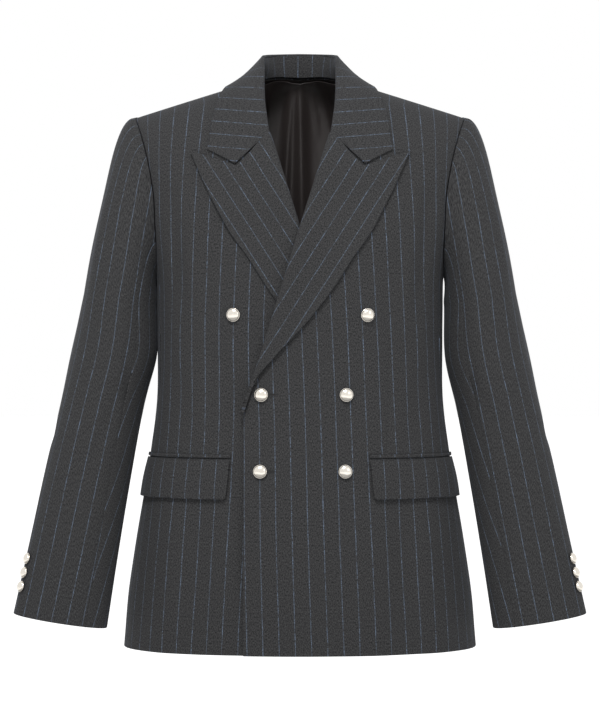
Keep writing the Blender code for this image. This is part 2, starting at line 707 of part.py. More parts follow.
def front_buttons(finish, thread):
    for row, (x, z) in BUTTON_PLACES.items():
        front_button(f"button_{row}_left", x, z, finish)
        place, out = front_button(f"button_{row}_right", BUTTONS_TO_RIGHT[row], z, finish)
        if row != "top":
            buttonhole(f"buttonhole_{row}", place, out, thread)


def cuff_buttons(side, finish):
    hand = "left" if side > 0 else "right"
    length = SLEEVE[0][0] - SLEEVE[-1][0]
    for count, up in enumerate(CUFF_BUTTON_UP, 1):
        along = 2 - up / length
        step = 1e-3
        here = sleeve_point(CUFF_BUTTON_ROUND, along)
        round_it = sleeve_point(CUFF_BUTTON_ROUND + step, along) - here
        down = sleeve_point(CUFF_BUTTON_ROUND, along + step) - here
        out = np.cross(down, round_it)
        flip = np.array([side, 1, 1])
        out = out * np.sign(out @ (here - np.array([SLEEVE[-1][1], SLEEVE[-1][2], here[2]])))
        button(f"cuff_button_{hand}_{count}", CUFF_BUTTON_RADIUS, here * flip, out * flip, finish)


clear_scene()
blazer = collection_for("double_breasted_blazer")
wool = material("charcoal_wool", (0.045, 0.047, 0.051), 0.9, sheen=0.2)
satin = material("black_lining", (0.016, 0.014, 0.014), 0.45)
silver = material("silver_metal", (0.72, 0.70, 0.66), 0.22, metallic=1.0)
stitching = material("buttonhole_thread", (0.030, 0.031, 0.034), 0.8)

for side in (1, -1):
    front_panel(side, wool)
    side_panel(side, wool)
    back_panel(side, wool)
    lapel(side, wool)
    sleeve(side, wool)
    pocket(side, wool)
    cuff_buttons(side, silver)
collar_fall(wool)
collar_stand(wool)
back_lining(satin)
front_buttons(silver, stitching)
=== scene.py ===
"""The cloth, lining, buttons and studio of a double breasted blazer in charcoal pinstriped wool.

Metres, +Z up, the front faces -Y and the wearer's left is +X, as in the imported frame. Every cloth
piece is a thin wall with a rounded edge on the form of its solid, and carries a UV map named "cloth"
that holds its cut in metres: U across the cloth, V along the warp, so the stripes run as it was cut.
"""

import math

import bmesh
import bpy
import numpy as np
from mathutils import Matrix, Vector
from mathutils.bvhtree import BVHTree


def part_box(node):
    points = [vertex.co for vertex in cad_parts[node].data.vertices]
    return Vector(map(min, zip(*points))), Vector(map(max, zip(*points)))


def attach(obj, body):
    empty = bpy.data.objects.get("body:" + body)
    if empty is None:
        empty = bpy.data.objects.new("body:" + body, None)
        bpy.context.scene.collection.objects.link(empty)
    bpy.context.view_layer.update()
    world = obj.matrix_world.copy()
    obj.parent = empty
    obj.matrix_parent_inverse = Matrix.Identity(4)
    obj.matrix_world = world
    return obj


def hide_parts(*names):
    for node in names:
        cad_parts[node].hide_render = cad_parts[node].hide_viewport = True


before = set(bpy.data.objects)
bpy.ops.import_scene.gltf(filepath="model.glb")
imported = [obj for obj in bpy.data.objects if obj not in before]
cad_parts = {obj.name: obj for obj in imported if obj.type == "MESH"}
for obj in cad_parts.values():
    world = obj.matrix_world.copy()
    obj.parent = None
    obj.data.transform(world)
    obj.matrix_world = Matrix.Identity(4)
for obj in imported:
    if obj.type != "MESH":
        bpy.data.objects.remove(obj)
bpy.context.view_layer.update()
BUTTON_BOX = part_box("button_top_left")

bl_info = {
    "name": "Double breasted blazer",
    "version": (1, 0, 0),
    "blender": (4, 5, 0),
    "location": "View3D > Sidebar > Blazer",
    "description": "Dresses the packed blazer in pinstriped wool, satin lining and metal buttons",
    "category": "Object",
}

# ---------------------------------------------------------------- the form of the solids

HEM = -0.738
BREAK = -0.432            # where the lapels start to turn back
UNDERARM = -0.252
ARMHOLE_MID = -0.1475
LAYER = 0.0030            # from one cloth layer to the next where they lie on each other
SEAM = 0.0003
BACK_NECK = 0.67          # share of the way up the back's lean at which the neck seam lies

# Body rings: height, half width, depth in front, depth behind, squareness
RINGS = (
    (-0.738, 0.2320, 0.128, 0.130, 2.15),
    (-0.673, 0.2257, 0.128, 0.130, 2.15),
    (-0.614, 0.2175, 0.127, 0.128, 2.20),
    (-0.546, 0.2070, 0.124, 0.123, 2.25),
    (-0.480, 0.1965, 0.120, 0.115, 2.30),
    (-0.400, 0.1870, 0.116, 0.106, 2.35),
    (-0.340, 0.1865, 0.117, 0.108, 2.35),
    (-0.300, 0.1868, 0.120, 0.112, 2.35),
    (-0.252, 0.1885, 0.123, 0.117, 2.40),
    (-0.220, 0.1935, 0.124, 0.119, 2.45),
    (-0.185, 0.2000, 0.123, 0.120, 2.50),
    (-0.1475, 0.2050, 0.121, 0.119, 2.50),
)

# Shoulders and armholes
SHOULDER_TIP = 0.219      # x of the sleeve end of the shoulder seam
NECK_POINT = 0.070        # x of its neck end
SHOULDER_Y = 0.006
SHOULDER_SLOPE = 0.315
SHOULDER_LEVEL = 0.0827   # z = 0 is this far out along the shoulder line
SHOULDER_ROUND = 0.020
NECK_RISE = 0.010
WIDER_ABOVE = 0.55        # how early the chest widens towards the shoulder tips
FRONT_ROUND = 2.0         # roundness of the front's lean over the shoulder
BACK_ROUND = 2.6          # the middle of the back is this much squarer
ARMHOLE_SHARE = 0.936     # the armhole's edge is at this share of the ring's half width
ARMHOLE_FRONT = 0.060     # how far the armhole reaches forward and back of the side line
ARMHOLE_BACK = 0.064
FRONT_SEAM = math.radians(78)    # round the ring from the centre front
BACK_SEAM = math.radians(112)

# Front edges, lapels and collar, as seen from the front (x, z)
OVERLAP = 0.0724          # each front reaches this far past the centre
ROLL_AT_MID = 0.018       # x of the roll line at the armholes' middle
GORGE_IN = (0.041, -0.074)
NOTCH = (0.0800, -0.1145)
COLLAR_CORNER = (0.1185, -0.0925)
PEAK = (0.1395, -0.0945)
LAPEL_EDGE = ((-0.0724, -0.432), (-0.0640, -0.402), (-0.0290, -0.355), (0.0110, -0.311),
              (0.043, -0.269), (0.067, -0.231), (0.087, -0.203), (0.111, -0.158), PEAK)
NOTCH_AT = 0.45           # share of the lapel's and collar's width at which the notch is cut
GORGE_GAP = 0.0006

# Collar, half of it, from the centre back to the front end: columns x, y, z
COLLAR_FOLD = ((0.000, 0.0925, 0.0520), (0.030, 0.0830, 0.0505), (0.0475, 0.0500, 0.0460),
               (0.0510, 0.0150, 0.0400), (0.0505, -0.0250, 0.0210), (0.0490, -0.0640, -0.0080),
               (0.0455, -0.0950, -0.0430), (0.0410, -0.1120, -0.0735))
COLLAR_EDGE = ((0.000, 0.1090, 0.0010), (0.040, 0.1030, 0.0000), (0.0760, 0.0740, -0.0020),
               (0.0900, 0.0290, -0.0010), (0.0970, -0.0130, -0.0030), (0.1050, -0.0530, -0.0200),
               (0.1125, -0.0830, -0.0480), (0.1185, -0.1020, -0.0925))
COLLAR_SWELL = 0.0030
COLLAR_END = 0.93         # the stand ends this far along the collar
STAND_INSIDE = (0.0045, 0.0030)     # the stand lies this far inside the neck seam and the fold
NECK_BACK_SHARE = 0.45    # share of half the neck seam that lies behind the shoulder seam
NECK_SEAM_DROP = 0.68
CHEST_MIDDLE = (0, 0, -0.12)

# Sleeve rings below the armhole: height and x and y of the middle, half width, half depth
SLEEVE = (
    (-0.282, 0.2375, 0.000, 0.0480, 0.0670),
    (-0.353, 0.2455, -0.002, 0.0545, 0.0635),
    (-0.415, 0.2590, -0.006, 0.0540, 0.0595),
    (-0.514, 0.2785, -0.020, 0.0562, 0.0525),
    (-0.613, 0.2960, -0.038, 0.0585, 0.0440),
    (-0.700, 0.3112, -0.053, 0.0614, 0.0375),
)
SLEEVE_GAP = 0.0005
SLEEVE_LEAN = math.radians(9.0)
SLEEVE_OUT = (0.016, 0.084)         # how the head leaves the armhole: under the arm, more on top
SLEEVE_UP = (-0.035, 0.050)
SLEEVE_ASIDE = 0.020
SLEEVE_ARRIVES = (0.030, 0.190)
SLEEVE_SEAM_FRONT = math.radians(-36)
SLEEVE_SEAM_BACK = math.radians(198)
SLEEVE_LENGTH = SLEEVE[0][0] - SLEEVE[-1][0]

# Pockets, as seen from the front: the flap's inner edge leans out towards its corner
POCKET_TOP = -0.482
WELT_HEIGHT = 0.006
FLAP_BOTTOM = -0.540
POCKET_IN = (0.0880, 0.0938)
POCKET_OUT = math.radians(84)

BUTTONS = ("top", "middle", "bottom")
BUTTON_RADIUS = (BUTTON_BOX[1].x - BUTTON_BOX[0].x) / 2
CUFF_BUTTON_RADIUS = 0.0076
SHANK = (0.0018, 0.0022)  # radius and length of a button's shank
CUFF_BUTTON_UP = (0.072, 0.054, 0.036)
CUFF_BUTTON_ROUND = math.radians(66)

# ---------------------------------------------------------------- how the cloth is cut and lies

# Where the first stripe lies and how far apart they are: height, left front, right front, pitch
STRIPE_RUN = (
    (-0.738, -0.0463, -0.0433, 0.0206),
    (-0.580, -0.0502, -0.0490, 0.0202),
    (-0.450, -0.0515, -0.0515, 0.0196),
    (-0.300, -0.0575, -0.0510, 0.0195),
    (-0.180, -0.0658, -0.0575, 0.0195),
    (-0.1475, -0.0685, -0.0597, 0.0195),
    (-0.106, -0.0700, -0.0613, 0.0190),
    (-0.065, -0.0710, -0.0630, 0.0183),
    (-0.030, -0.0714, -0.0635, 0.0176),
)
# Sleeves: rings from the armhole to the cuff, stripe off the front line, left and right, and pitch
SLEEVE_STRIPES = ((1.0, -0.0080, -0.0030, 0.0197), (1.5, -0.0075, 0.0020, 0.0197),
                  (2.0, -0.0045, 0.0085, 0.0200))
LAPEL_STRIPE_ANGLE = math.radians(32.5)     # from the vertical, as seen from the front
LAPEL_STRIPE_PITCH = 0.0170                 # as seen from the front
LAPEL_FIRST_STRIPE = {1: 0.0002, -1: 0.0112}   # from the peak's point, towards the roll line
COLLAR_STRIPE_PITCH = 0.0170
COLLAR_FIRST_STRIPE = 0.0035
STRIPE_STEP = 0.0200      # from stripe to stripe on the flat cloth
STRIPE_LEAN = 0.165       # the sleeves' stripes lean in by this much as they rise to the armhole
STAND_STRIPE = 0.0023     # the band's stripe nearest its middle is this far to the wearer's right
TURN_UP = 0.038           # cloth turned up inside hems and cuffs
SNUG = 0.60               # how much of an edge's rounding is pressed flat along a seam
# the least size that a sheet may be given; the welts' strips are narrower
NARROWEST = 0.0102        # the least length that declare takes for a piece; the welts' strips are narrower
LINING_CLEAR = 0.0048     # the satin stays at least this far inside the back's outer face
SATIN = 0.0010            # thickness of the lining
HEAD_DRAWN_IN = 0.0034    # the sleeve's outer side is drawn in by this much below the head
LEANS_ON_BODY = 0.0028    # the wearer's right sleeve swells by this much against the side
TUCKED_UNDER = 0.0048     # the head's back edge is tucked under the back by this much

# Soft folds: x, z of the middle, half length, half width, height (a trough below 0), lean in degrees
FRONT_FOLDS = (
    (0.160, -0.222, 0.075, 0.0090, -0.0034, -5),
    (0.141, -0.215, 0.085, 0.0120, 0.0020, -4),
    (0.172, -0.318, 0.060, 0.0100, -0.0022, 4),
    (0.120, -0.265, 0.070, 0.0130, -0.0014, -9),
    (0.084, -0.345, 0.050, 0.0110, 0.0012, 14),
    (0.052, -0.455, 0.055, 0.0120, -0.0010, -24),
    (0.150, -0.420, 0.050, 0.0120, -0.0018, -12),
    (0.136, -0.610, 0.070, 0.0170, -0.0030, 5),
    (0.168, -0.655, 0.100, 0.0200, 0.0042, 6),
    (0.095, -0.660, 0.085, 0.0190, 0.0026, 3),
    (0.045, -0.640, 0.100, 0.0170, -0.0016, -2),
)
LEFT_FOLDS = (
    (0.020, -0.372, 0.040, 0.0070, -0.0010, -62),
    (-0.010, -0.432, 0.045, 0.0080, 0.0009, 74),
    (0.010, -0.560, 0.075, 0.0120, -0.0012, -6),
    (-0.035, -0.620, 0.070, 0.0100, 0.0010, 2),
)
RIGHT_FOLDS = (
    (0.100, -0.372, 0.040, 0.0080, -0.0013, -48),
    (0.066, -0.590, 0.070, 0.0110, -0.0018, 4),
    (0.112, -0.300, 0.050, 0.0090, 0.0010, 6),
)
BACK_FOLDS = (
    (0.150, -0.215, 0.085, 0.0110, -0.0040, 6),
    (0.128, -0.225, 0.090, 0.0130, 0.0022, 5),
    (0.070, -0.120, 0.060, 0.0140, 0.0016, 38),
    (0.095, -0.420, 0.080, 0.0160, -0.0024, -8),
    (0.060, -0.350, 0.100, 0.0180, 0.0018, -4),
    (0.045, -0.640, 0.110, 0.0200, -0.0032, -2),
    (0.115, -0.650, 0.100, 0.0220, 0.0046, 4),
    (0.165, -0.600, 0.090, 0.0150, -0.0028, 6),
)
SIDE_FOLDS = ((-0.010, -0.330, 0.080, 0.0120, 0.0012, 3), (0.014, -0.620, 0.090, 0.0140, 0.0022, -3))
# Round the sleeve in metres from its front line, down from the armhole, then as above
SLEEVE_FOLDS = (
    (-0.034, 0.330, 0.060, 0.0080, -0.0030, 16),
    (-0.022, 0.295, 0.080, 0.0100, 0.0016, 10),
    (-0.012, 0.390, 0.070, 0.0100, -0.0016, -12),
    (0.020, 0.215, 0.090, 0.0120, -0.0014, 6),
    (0.050, 0.130, 0.060, 0.0120, 0.0016, 4),
    (0.036, 0.470, 0.090, 0.0130, 0.0018, -4),
    (0.004, 0.520, 0.060, 0.0100, -0.0014, 8),
    (0.120, 0.360, 0.050, 0.0110, -0.0036, 52),
    (0.140, 0.310, 0.050, 0.0100, 0.0026, 46),
    (0.165, 0.420, 0.060, 0.0120, -0.0028, -38),
    (0.110, 0.240, 0.080, 0.0140, 0.0016, 12),
)
LINING_FOLDS = (
    (0.001, -0.060, 0.150, 0.0085, 0.0085, 1),
    (-0.016, -0.050, 0.120, 0.0055, 0.0050, -3),
    (0.021, -0.010, 0.060, 0.0060, 0.0050, 10),
    (-0.040, -0.050, 0.110, 0.0080, -0.0060, -8),
    (0.036, -0.070, 0.100, 0.0090, -0.0060, 10),
    (0.056, -0.060, 0.100, 0.0090, 0.0050, 8),
    (-0.060, -0.050, 0.100, 0.0090, 0.0050, -8),
)
# Darts of the fronts, left and right: x at the top and at the pocket, both heights
DARTS = {1: ((0.1150, -0.326), (0.1120, -0.478)), -1: ((0.1105, -0.326), (0.1120, -0.478))}


def smooth(rows, at):
    """Reads every column of a table at a value of its first one, on a smooth curve through the rows."""
    table = np.asarray(rows, float)
    keys = table[:, 0]
    slopes = np.gradient(table, keys, axis=0)
    at = np.clip(np.asarray(at, float), keys[0], keys[-1])
    i = np.clip(np.searchsorted(keys, at, side="right") - 1, 0, len(keys) - 2)
    width = keys[i + 1] - keys[i]
    t = ((at - keys[i]) / width)[..., None]
    width = width[..., None]
    return ((2 * t**3 - 3 * t**2 + 1) * table[i] + (t**3 - 2 * t**2 + t) * width * slopes[i]
            + (3 * t**2 - 2 * t**3) * table[i + 1] + (t**3 - t**2) * width * slopes[i + 1])


def lengths(points):
    """How far along a line each of its points is."""
    return np.concatenate([[0], np.cumsum(np.linalg.norm(np.diff(points, axis=0), axis=1))])


def curve(points, at):
    """A point of a smooth curve through the points, where at goes from 0 to 1 along it."""
    points = np.asarray(points, float)
    along = lengths(points)
    return smooth(np.column_stack([along / along[-1], points]), at)[..., 1:]


def fade(value, full, gone):
    """1 at full and 0 at gone, eased between them."""
    t = np.clip((np.asarray(value, float) - gone) / (full - gone), 0, 1)
    return t * t * (3 - 2 * t)


def unit(vectors):
    return vectors / np.maximum(np.linalg.norm(vectors, axis=-1, keepdims=True), 1e-12)


def with_fine_edges(length, count, fine=(0.0014, 0.0032, 0.0065)):
    """Distances along a row, even but for short steps at both ends, where the cloth turns at its edge."""
    start = np.concatenate([[0], fine])
    middle = np.linspace(fine[-1], length - fine[-1], count - 2 * len(fine))[1:-1]
    return np.concatenate([start, middle, length - start[::-1]])


def folds_at(table, across, along):
    """The height of a set of soft folds, each a rounded ridge or trough that dies out at both ends."""
    height = np.zeros(np.broadcast(across, along).shape)
    for x, z, half_length, half_width, rise, lean in table:
        turn = math.radians(lean)
        over = (across - x) * math.cos(turn) + (along - z) * math.sin(turn)
        run = (along - z) * math.cos(turn) - (across - x) * math.sin(turn)
        height = height + rise * np.exp(-(over / half_width) ** 2 - (run / half_length) ** 4)
    return height


# ---------------------------------------------------------------- the body form

def shoulder_height(x):
    straight = (SHOULDER_LEVEL - np.hypot(x, SHOULDER_ROUND)) * SHOULDER_SLOPE
    return straight + NECK_RISE * fade(np.abs(x), 0.0, 0.090)


def body_point(angle, level):
    """A point of the body. The angle goes round from the centre front, 0, by the side to the back, pi.

    A level up to 0 is a height below the middle of the armholes. From 0 to 1 it rises from there
    to the shoulder line, and each sheet leans in over the shoulder.
    """
    angle, level = np.broadcast_arrays(np.asarray(angle, float), np.asarray(level, float))
    ring = smooth(RINGS, np.minimum(level, 0) + ARMHOLE_MID)
    half_width, front, back, squareness = (ring[..., k] for k in (1, 2, 3, 4))
    sine, cosine = np.sin(angle), np.cos(angle)
    x = half_width * np.sign(sine) * np.abs(sine) ** (2 / squareness)
    y = -np.where(cosine > 0, front, back) * np.sign(cosine) * np.abs(cosine) ** (2 / squareness)
    z = ARMHOLE_MID + np.minimum(level, 0)
    rise = np.clip(level, 0, 1)
    armhole_x = smooth(RINGS, ARMHOLE_MID)[1] * ARMHOLE_SHARE
    inner = np.clip(np.abs(x) / armhole_x, 0, 1)
    roundness = FRONT_ROUND + np.where(cosine > 0, 0, BACK_ROUND * (1 - inner**2))
    lift = np.sin(rise * math.pi / 2) ** (2 / roundness)
    lean = np.cos(rise * math.pi / 2) ** (2 / roundness)
    wide = 1 + (SHOULDER_TIP / armhole_x - 1) * lift * (WIDER_ABOVE + (1 - WIDER_ABOVE) * lift)
    x = np.where(level > 0, x * wide, x)
    z = np.where(level > 0, ARMHOLE_MID + (shoulder_height(x) - ARMHOLE_MID) * lift, z)
    y = np.where(level > 0, SHOULDER_Y + (y - SHOULDER_Y) * lean, y)
    return np.stack([x, y, z], axis=-1)


def widening():
    return SHOULDER_TIP / (smooth(RINGS, ARMHOLE_MID)[1] * ARMHOLE_SHARE)


def outward(angle, level):
    """The direction straight out of the body's cloth."""
    step = 1e-4
    across = body_point(angle + step, level) - body_point(angle - step, level)
    up = body_point(angle, level + step) - body_point(angle, level - step)
    return unit(np.cross(across, up))


def angle_of_x(x, level):
    """The angle, in front, at which a ring has this x."""
    ring = smooth(RINGS, np.minimum(level, 0) + ARMHOLE_MID)
    share = np.clip(np.abs(x) / ring[..., 1], 0, 1)
    return np.sign(x) * np.arcsin(share ** (ring[..., 4] / 2))


def front_angle_level(x, z):
    """The angles and levels of the points of the front that are seen at x, z."""
    x, z = np.broadcast_arrays(np.asarray(x, float), np.asarray(z, float))
    below = np.minimum(z - ARMHOLE_MID, 0.0)
    angle, level = angle_of_x(x, below), np.full(x.shape, 0.3)
    rise = np.clip((z - ARMHOLE_MID) / (shoulder_height(x) - ARMHOLE_MID), 0.0, 1.0)
    above = np.arcsin(rise) / (math.pi / 2)
    for _ in range(12):
        here = body_point(angle, np.where(z > ARMHOLE_MID, above, 0.0))[..., 0]
        flat = body_point(angle, 0.0)[..., 0]
        ratio = np.where(np.abs(flat) > 1e-9, here / np.where(np.abs(flat) > 1e-9, flat, 1), 1.0)
        angle = np.where(z > ARMHOLE_MID, angle_of_x(x / ratio, 0.0), angle)
    level = np.where(z > ARMHOLE_MID, above, below)
    return angle, level


def overlap_lift(x, z, side):
    """How far out a front is moved where the wearer's left one lies over the right one."""
    return side * LAYER * fade(x, 0.080, 0.150) * fade(z, -0.205, -0.150)


def on_front(x, z, side, height):
    """Points seen at x, z, this far above the front panel of a side, and the way out of it there."""
    angle, level = front_angle_level(x, z)
    out = outward(angle, level)
    return body_point(angle, level) + out * (height + overlap_lift(x, z, side))[..., None], out


def armhole_angle(height, behind):
    """The angle of the armhole's edge on the ring at a height, in front of the side or behind it."""
    ring = smooth(RINGS, height)
    down = np.clip((ARMHOLE_MID - height) / (ARMHOLE_MID - UNDERARM), 0, 1)
    reach = np.where(behind, ARMHOLE_BACK, ARMHOLE_FRONT) * np.sqrt(1 - down**2)
    depth = np.where(behind, ring[..., 3], ring[..., 2])
    share = np.arccos(np.clip(reach / depth, 0, 1) ** (ring[..., 4] / 2))
    return np.where(behind, math.pi - share, share)


def armhole_meets(angle, behind):
    """The height at which a line straight up the body at an angle runs into the armhole."""
    low, high = UNDERARM, ARMHOLE_MID
    for _ in range(40):
        middle = (low + high) / 2
        panel = armhole_angle(middle, behind) > angle
        low, high = (middle, high) if panel != behind else (low, middle)
    return (low + high) / 2


# ---------------------------------------------------------------- walls of cloth

def normals_of(points):
    """The directions straight out of a grid of points."""
    return unit(np.cross(np.gradient(points, axis=1), np.gradient(points, axis=0)))


def edge_ring(rows, columns):
    """The places of a grid's outline, once round it."""
    bottom = [(0, c) for c in range(columns - 1)]
    right = [(r, columns - 1) for r in range(rows - 1)]
    top = [(rows - 1, c) for c in range(columns - 1, 0, -1)]
    left = [(r, 0) for r in range(rows - 1, 0, -1)]
    return np.array(bottom + right + top + left)


def cloth_wall(name, points, cut, wall, finishes, mirrored=False, inside=None, facing=CHEST_MIDDLE,
               inwards=False, snug=(0, 0, 0, 0)):
    """A closed wall of cloth behind a grid of points, with a half-round edge.

    cut holds each point's place on the flat cloth, and inside tells for each of the grid's faces
    whether its inner side is lined, which takes the second finish. snug marks the first row, last
    column, last row and first column where they are sewn to another piece and meet it closely.
    """
    points, cut = points.copy(), np.asarray(cut, float)
    rows, columns = points.shape[:2]
    normal = normals_of(points)
    turned = (np.sum(normal * (points - np.array(facing))) < 0) != inwards
    normal = -normal if turned else normal
    ring = edge_ring(rows, columns)
    beside = np.column_stack([np.clip(ring[:, 0], 1, rows - 2), np.clip(ring[:, 1], 1, columns - 2)])
    r, c = ring.T
    aside = points[r, c] - points[beside[:, 0], beside[:, 1]]
    aside = unit(aside - np.sum(aside * normal[r, c], axis=1, keepdims=True) * normal[r, c])
    sewn = np.concatenate([np.full(n, mark) for n, mark in zip((columns - 1, rows - 1) * 2, snug)])
    points[r, c] -= aside * (wall / 2 * (1 - SNUG * sewn))[:, None]
    count = rows * columns
    index = np.arange(count).reshape(rows, columns)
    rims = []
    steps = 4
    for k in range(1, steps):
        turn = math.pi * k / steps
        depth = (1 - math.cos(turn)) / 2
        rims.append(points[r, c] - normal[r, c] * wall * depth + aside * wall / 2 * math.sin(turn))
    verts = np.concatenate([points.reshape(-1, 3), (points - normal * wall).reshape(-1, 3), *rims])
    cuts = np.concatenate([cut.reshape(-1, 2)] * 2 + [cut[r, c]] * (steps - 1))
    a, b = index[:-1, :-1].ravel(), index[:-1, 1:].ravel()
    d, e = index[1:, :-1].ravel(), index[1:, 1:].ravel()
    outer = np.column_stack([a, b, e, d])
    inner = np.column_stack([a, d, e, b]) + count
    edge = index[r, c]
    levels = [edge] + [2 * count + k * len(ring) + np.arange(len(ring)) for k in range(steps - 1)]
    levels.append(edge + count)
    rim = [np.column_stack([np.roll(x, -1), x, y, np.roll(y, -1)]) for x, y in zip(levels, levels[1:])]
    faces = np.concatenate([outer, inner, *rim])
    if mirrored:
        verts[:, 0] *= -1
    if turned != mirrored:
        faces = faces[:, ::-1]
    mesh = bpy.data.meshes.new(name)
    mesh.from_pydata(verts.tolist(), [], faces.tolist())
    for finish in finishes:
        mesh.materials.append(finish)
    slots = np.zeros(len(faces), np.int32)
    if inside is not None:
        slots[len(outer):2 * len(outer)] = np.asarray(inside, np.int32).ravel()
    mesh.polygons.foreach_set("material_index", slots)
    corners = np.empty(len(mesh.loops), np.int32)
    mesh.loops.foreach_get("vertex_index", corners)
    mesh.uv_layers.new(name="cloth").data.foreach_set("uv", cuts[corners].astype(np.float32).ravel())
    mesh.shade_smooth()
    piece = bpy.data.objects.new(name, mesh)
    bpy.context.scene.collection.objects.link(piece)
    shape = bmesh.new()
    shape.from_mesh(mesh)
    bmesh.ops.remove_doubles(shape, verts=shape.verts, dist=1e-6)
    bmesh.ops.dissolve_degenerate(shape, edges=shape.edges, dist=1e-6)
    shape.to_mesh(mesh)
    shape.free()
    return piece


def declare(piece, node, points):
    """Hangs a cloth piece under the root and hides the solid that it stands for; the length it works out is
    not used.
    """
    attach(piece, "root")
    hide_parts(node)
    length = float(np.linalg.norm(np.diff(points, axis=0), axis=2).sum(0).max())
    length = max(length, NARROWEST)
    return piece


def hand(side):
    return "left" if side > 0 else "right"


def hem_turned_up(points, depth):
    """Which inner faces are lined: all but the cloth that is turned up at the hem."""
    middle = (points[:-1, :-1] + points[1:, 1:]) / 2
    return middle[..., 2] > points[..., 2].min() + depth


# ---------------------------------------------------------------- body pieces

def front_inner_x(level):
    """x of a front's inner edge on the wearer's left: the straight edge, then the roll line."""
    if level <= BREAK - ARMHOLE_MID:
        return -OVERLAP
    if level <= 0:
        share = 1 - level / (BREAK - ARMHOLE_MID)
        return -OVERLAP + (ROLL_AT_MID + OVERLAP) * share
    lift = math.sin(level * math.pi / 2)
    return ROLL_AT_MID + (NECK_POINT / widening() - ROLL_AT_MID) * lift


def levels_up_to_shoulder(below_rows, above_rows):
    """A panel's rows: heights from the hem to the armholes' middle, then shares up to the shoulder."""
    low = with_fine_edges(ARMHOLE_MID - HEM, below_rows)[:-3] - (ARMHOLE_MID - HEM)
    high = np.linspace(0, 1, above_rows)[:-1]
    return np.concatenate([low, high, [0.984, 0.994, 1.0]])


def dart_x(side, height):
    (top_x, top), (low_x, low) = DARTS[side]
    return np.interp(height, (low, top), (low_x, top_x))


def front_rows(side, levels):
    """A front's angles, distances round the ring from the centre front, and from its dart."""
    meet = armhole_meets(FRONT_SEAM, False)
    angles, rounds, from_dart = [], [], []
    for level in levels:
        below = min(level, 0.0)
        height = below + ARMHOLE_MID
        start = float(angle_of_x(front_inner_x(level), below))
        end = FRONT_SEAM if height <= meet else float(armhole_angle(height, False))
        fine = np.linspace(start, end, 400)
        along = lengths(body_point(fine, below))
        dart = np.interp(float(angle_of_x(dart_x(side, height), below)), fine, along)
        inner = with_fine_edges(dart, 36, (0.0012, 0.0028, 0.0060))[:-4]
        near = dart + np.array([-0.0052, -0.0026, -0.0011, 0.0, 0.0011, 0.0026, 0.0052])
        outer = dart + with_fine_edges(along[-1] - dart, 34, (0.0012, 0.0028, 0.0060))[4:]
        place = np.concatenate([inner, near, outer])
        angles.append(np.interp(place, along, fine))
        to_start = lengths(body_point(np.linspace(0, start, 100), below))[-1] * np.sign(start)
        rounds.append(to_start + place)
        from_dart.append(place - dart)
    return np.array(angles), np.array(rounds), np.array(from_dart)


def stripe_places(rounds, heights, side):
    """U of the fronts and sides, which puts a stripe at every whole step of STRIPE_STEP."""
    run = smooth(STRIPE_RUN, heights)
    first = run[..., 1] if side > 0 else run[..., 2]
    return (rounds - first) / run[..., 3] * STRIPE_STEP


def up_the_cloth(points):
    """How far up its column each point is."""
    steps = np.linalg.norm(np.diff(points, axis=0), axis=2)
    return np.concatenate([np.zeros((1, points.shape[1])), np.cumsum(steps, axis=0)])


def front(side, finishes, cloth):
    levels = levels_up_to_shoulder(96, 40)
    angles, rounds, from_dart = front_rows(side, levels)
    level = np.repeat(levels[:, None], angles.shape[1], axis=1)
    base = body_point(angles, level)
    out = outward(angles, level)
    cut = np.stack([stripe_places(rounds, base[..., 2], side), up_the_cloth(base)], axis=-1)
    x, z = base[..., 0], base[..., 2]
    own = LEFT_FOLDS if side > 0 else RIGHT_FOLDS
    relief = folds_at(FRONT_FOLDS + own, x, z) * cloth.fold_height
    relief *= fade(z, -0.095, -0.050)
    low, top = DARTS[side][1][1], DARTS[side][0][1]
    sewn = fade(z, top - 0.030, top + 0.004) * fade(z, low + 0.004, low - 0.006)
    relief -= sewn * (0.0010 * np.exp(-(from_dart / 0.0013) ** 2)
                      + 0.0008 * np.exp(-(from_dart / 0.010) ** 2))
    to_seam = rounds[:, -1:] - rounds
    relief -= 0.0006 * np.exp(-to_seam / 0.0030)
    points = base + out * relief[..., None]
    points[..., 1] -= overlap_lift(x, z, side)
    lined = hem_turned_up(points, TURN_UP)
    name = f"front_cloth_{hand(side)}"
    piece = cloth_wall(name, points, cut, cloth.thickness, finishes, side < 0, lined, snug=(0, 1, 1, 0))
    return declare(piece, f"front_{hand(side)}", points)


def side_body(side, finishes, cloth):
    columns = 22
    fine = np.linspace(FRONT_SEAM, BACK_SEAM, 200)
    share = with_fine_edges(1.0, columns, (0.012, 0.030, 0.065))
    low = []
    for angle in np.interp(share, np.linspace(0, 1, 200), fine):
        top = armhole_meets(angle, angle > math.pi / 2)
        low.append(with_fine_edges(top - HEM, 100) + HEM - ARMHOLE_MID)
    level = np.array(low).T
    angle = np.repeat(np.interp(share, np.linspace(0, 1, 200), fine)[None], len(level), axis=0)
    base = body_point(angle, level)
    out = outward(angle, level)
    rounds = []
    for row, at in zip(angle, level):
        below = float(at.mean())
        start = lengths(body_point(np.linspace(0, FRONT_SEAM, 200), below))[-1]
        rounds.append(start + np.interp(row, fine, lengths(body_point(fine, below))))
    rounds = np.array(rounds)
    cut = np.stack([stripe_places(rounds, level + ARMHOLE_MID, side), up_the_cloth(base)], axis=-1)
    relief = folds_at(SIDE_FOLDS, base[..., 1], base[..., 2]) * cloth.fold_height
    for edge in (rounds[:, :1], rounds[:, -1:]):
        relief -= 0.0006 * np.exp(-np.abs(rounds - edge) / 0.0030)
    points = base + out * relief[..., None]
    lined = hem_turned_up(points, TURN_UP)
    name = f"side_cloth_{hand(side)}"
    piece = cloth_wall(name, points, cut, cloth.thickness, finishes, side < 0, lined, snug=(0, 1, 1, 1))
    return declare(piece, f"side_{hand(side)}", points)


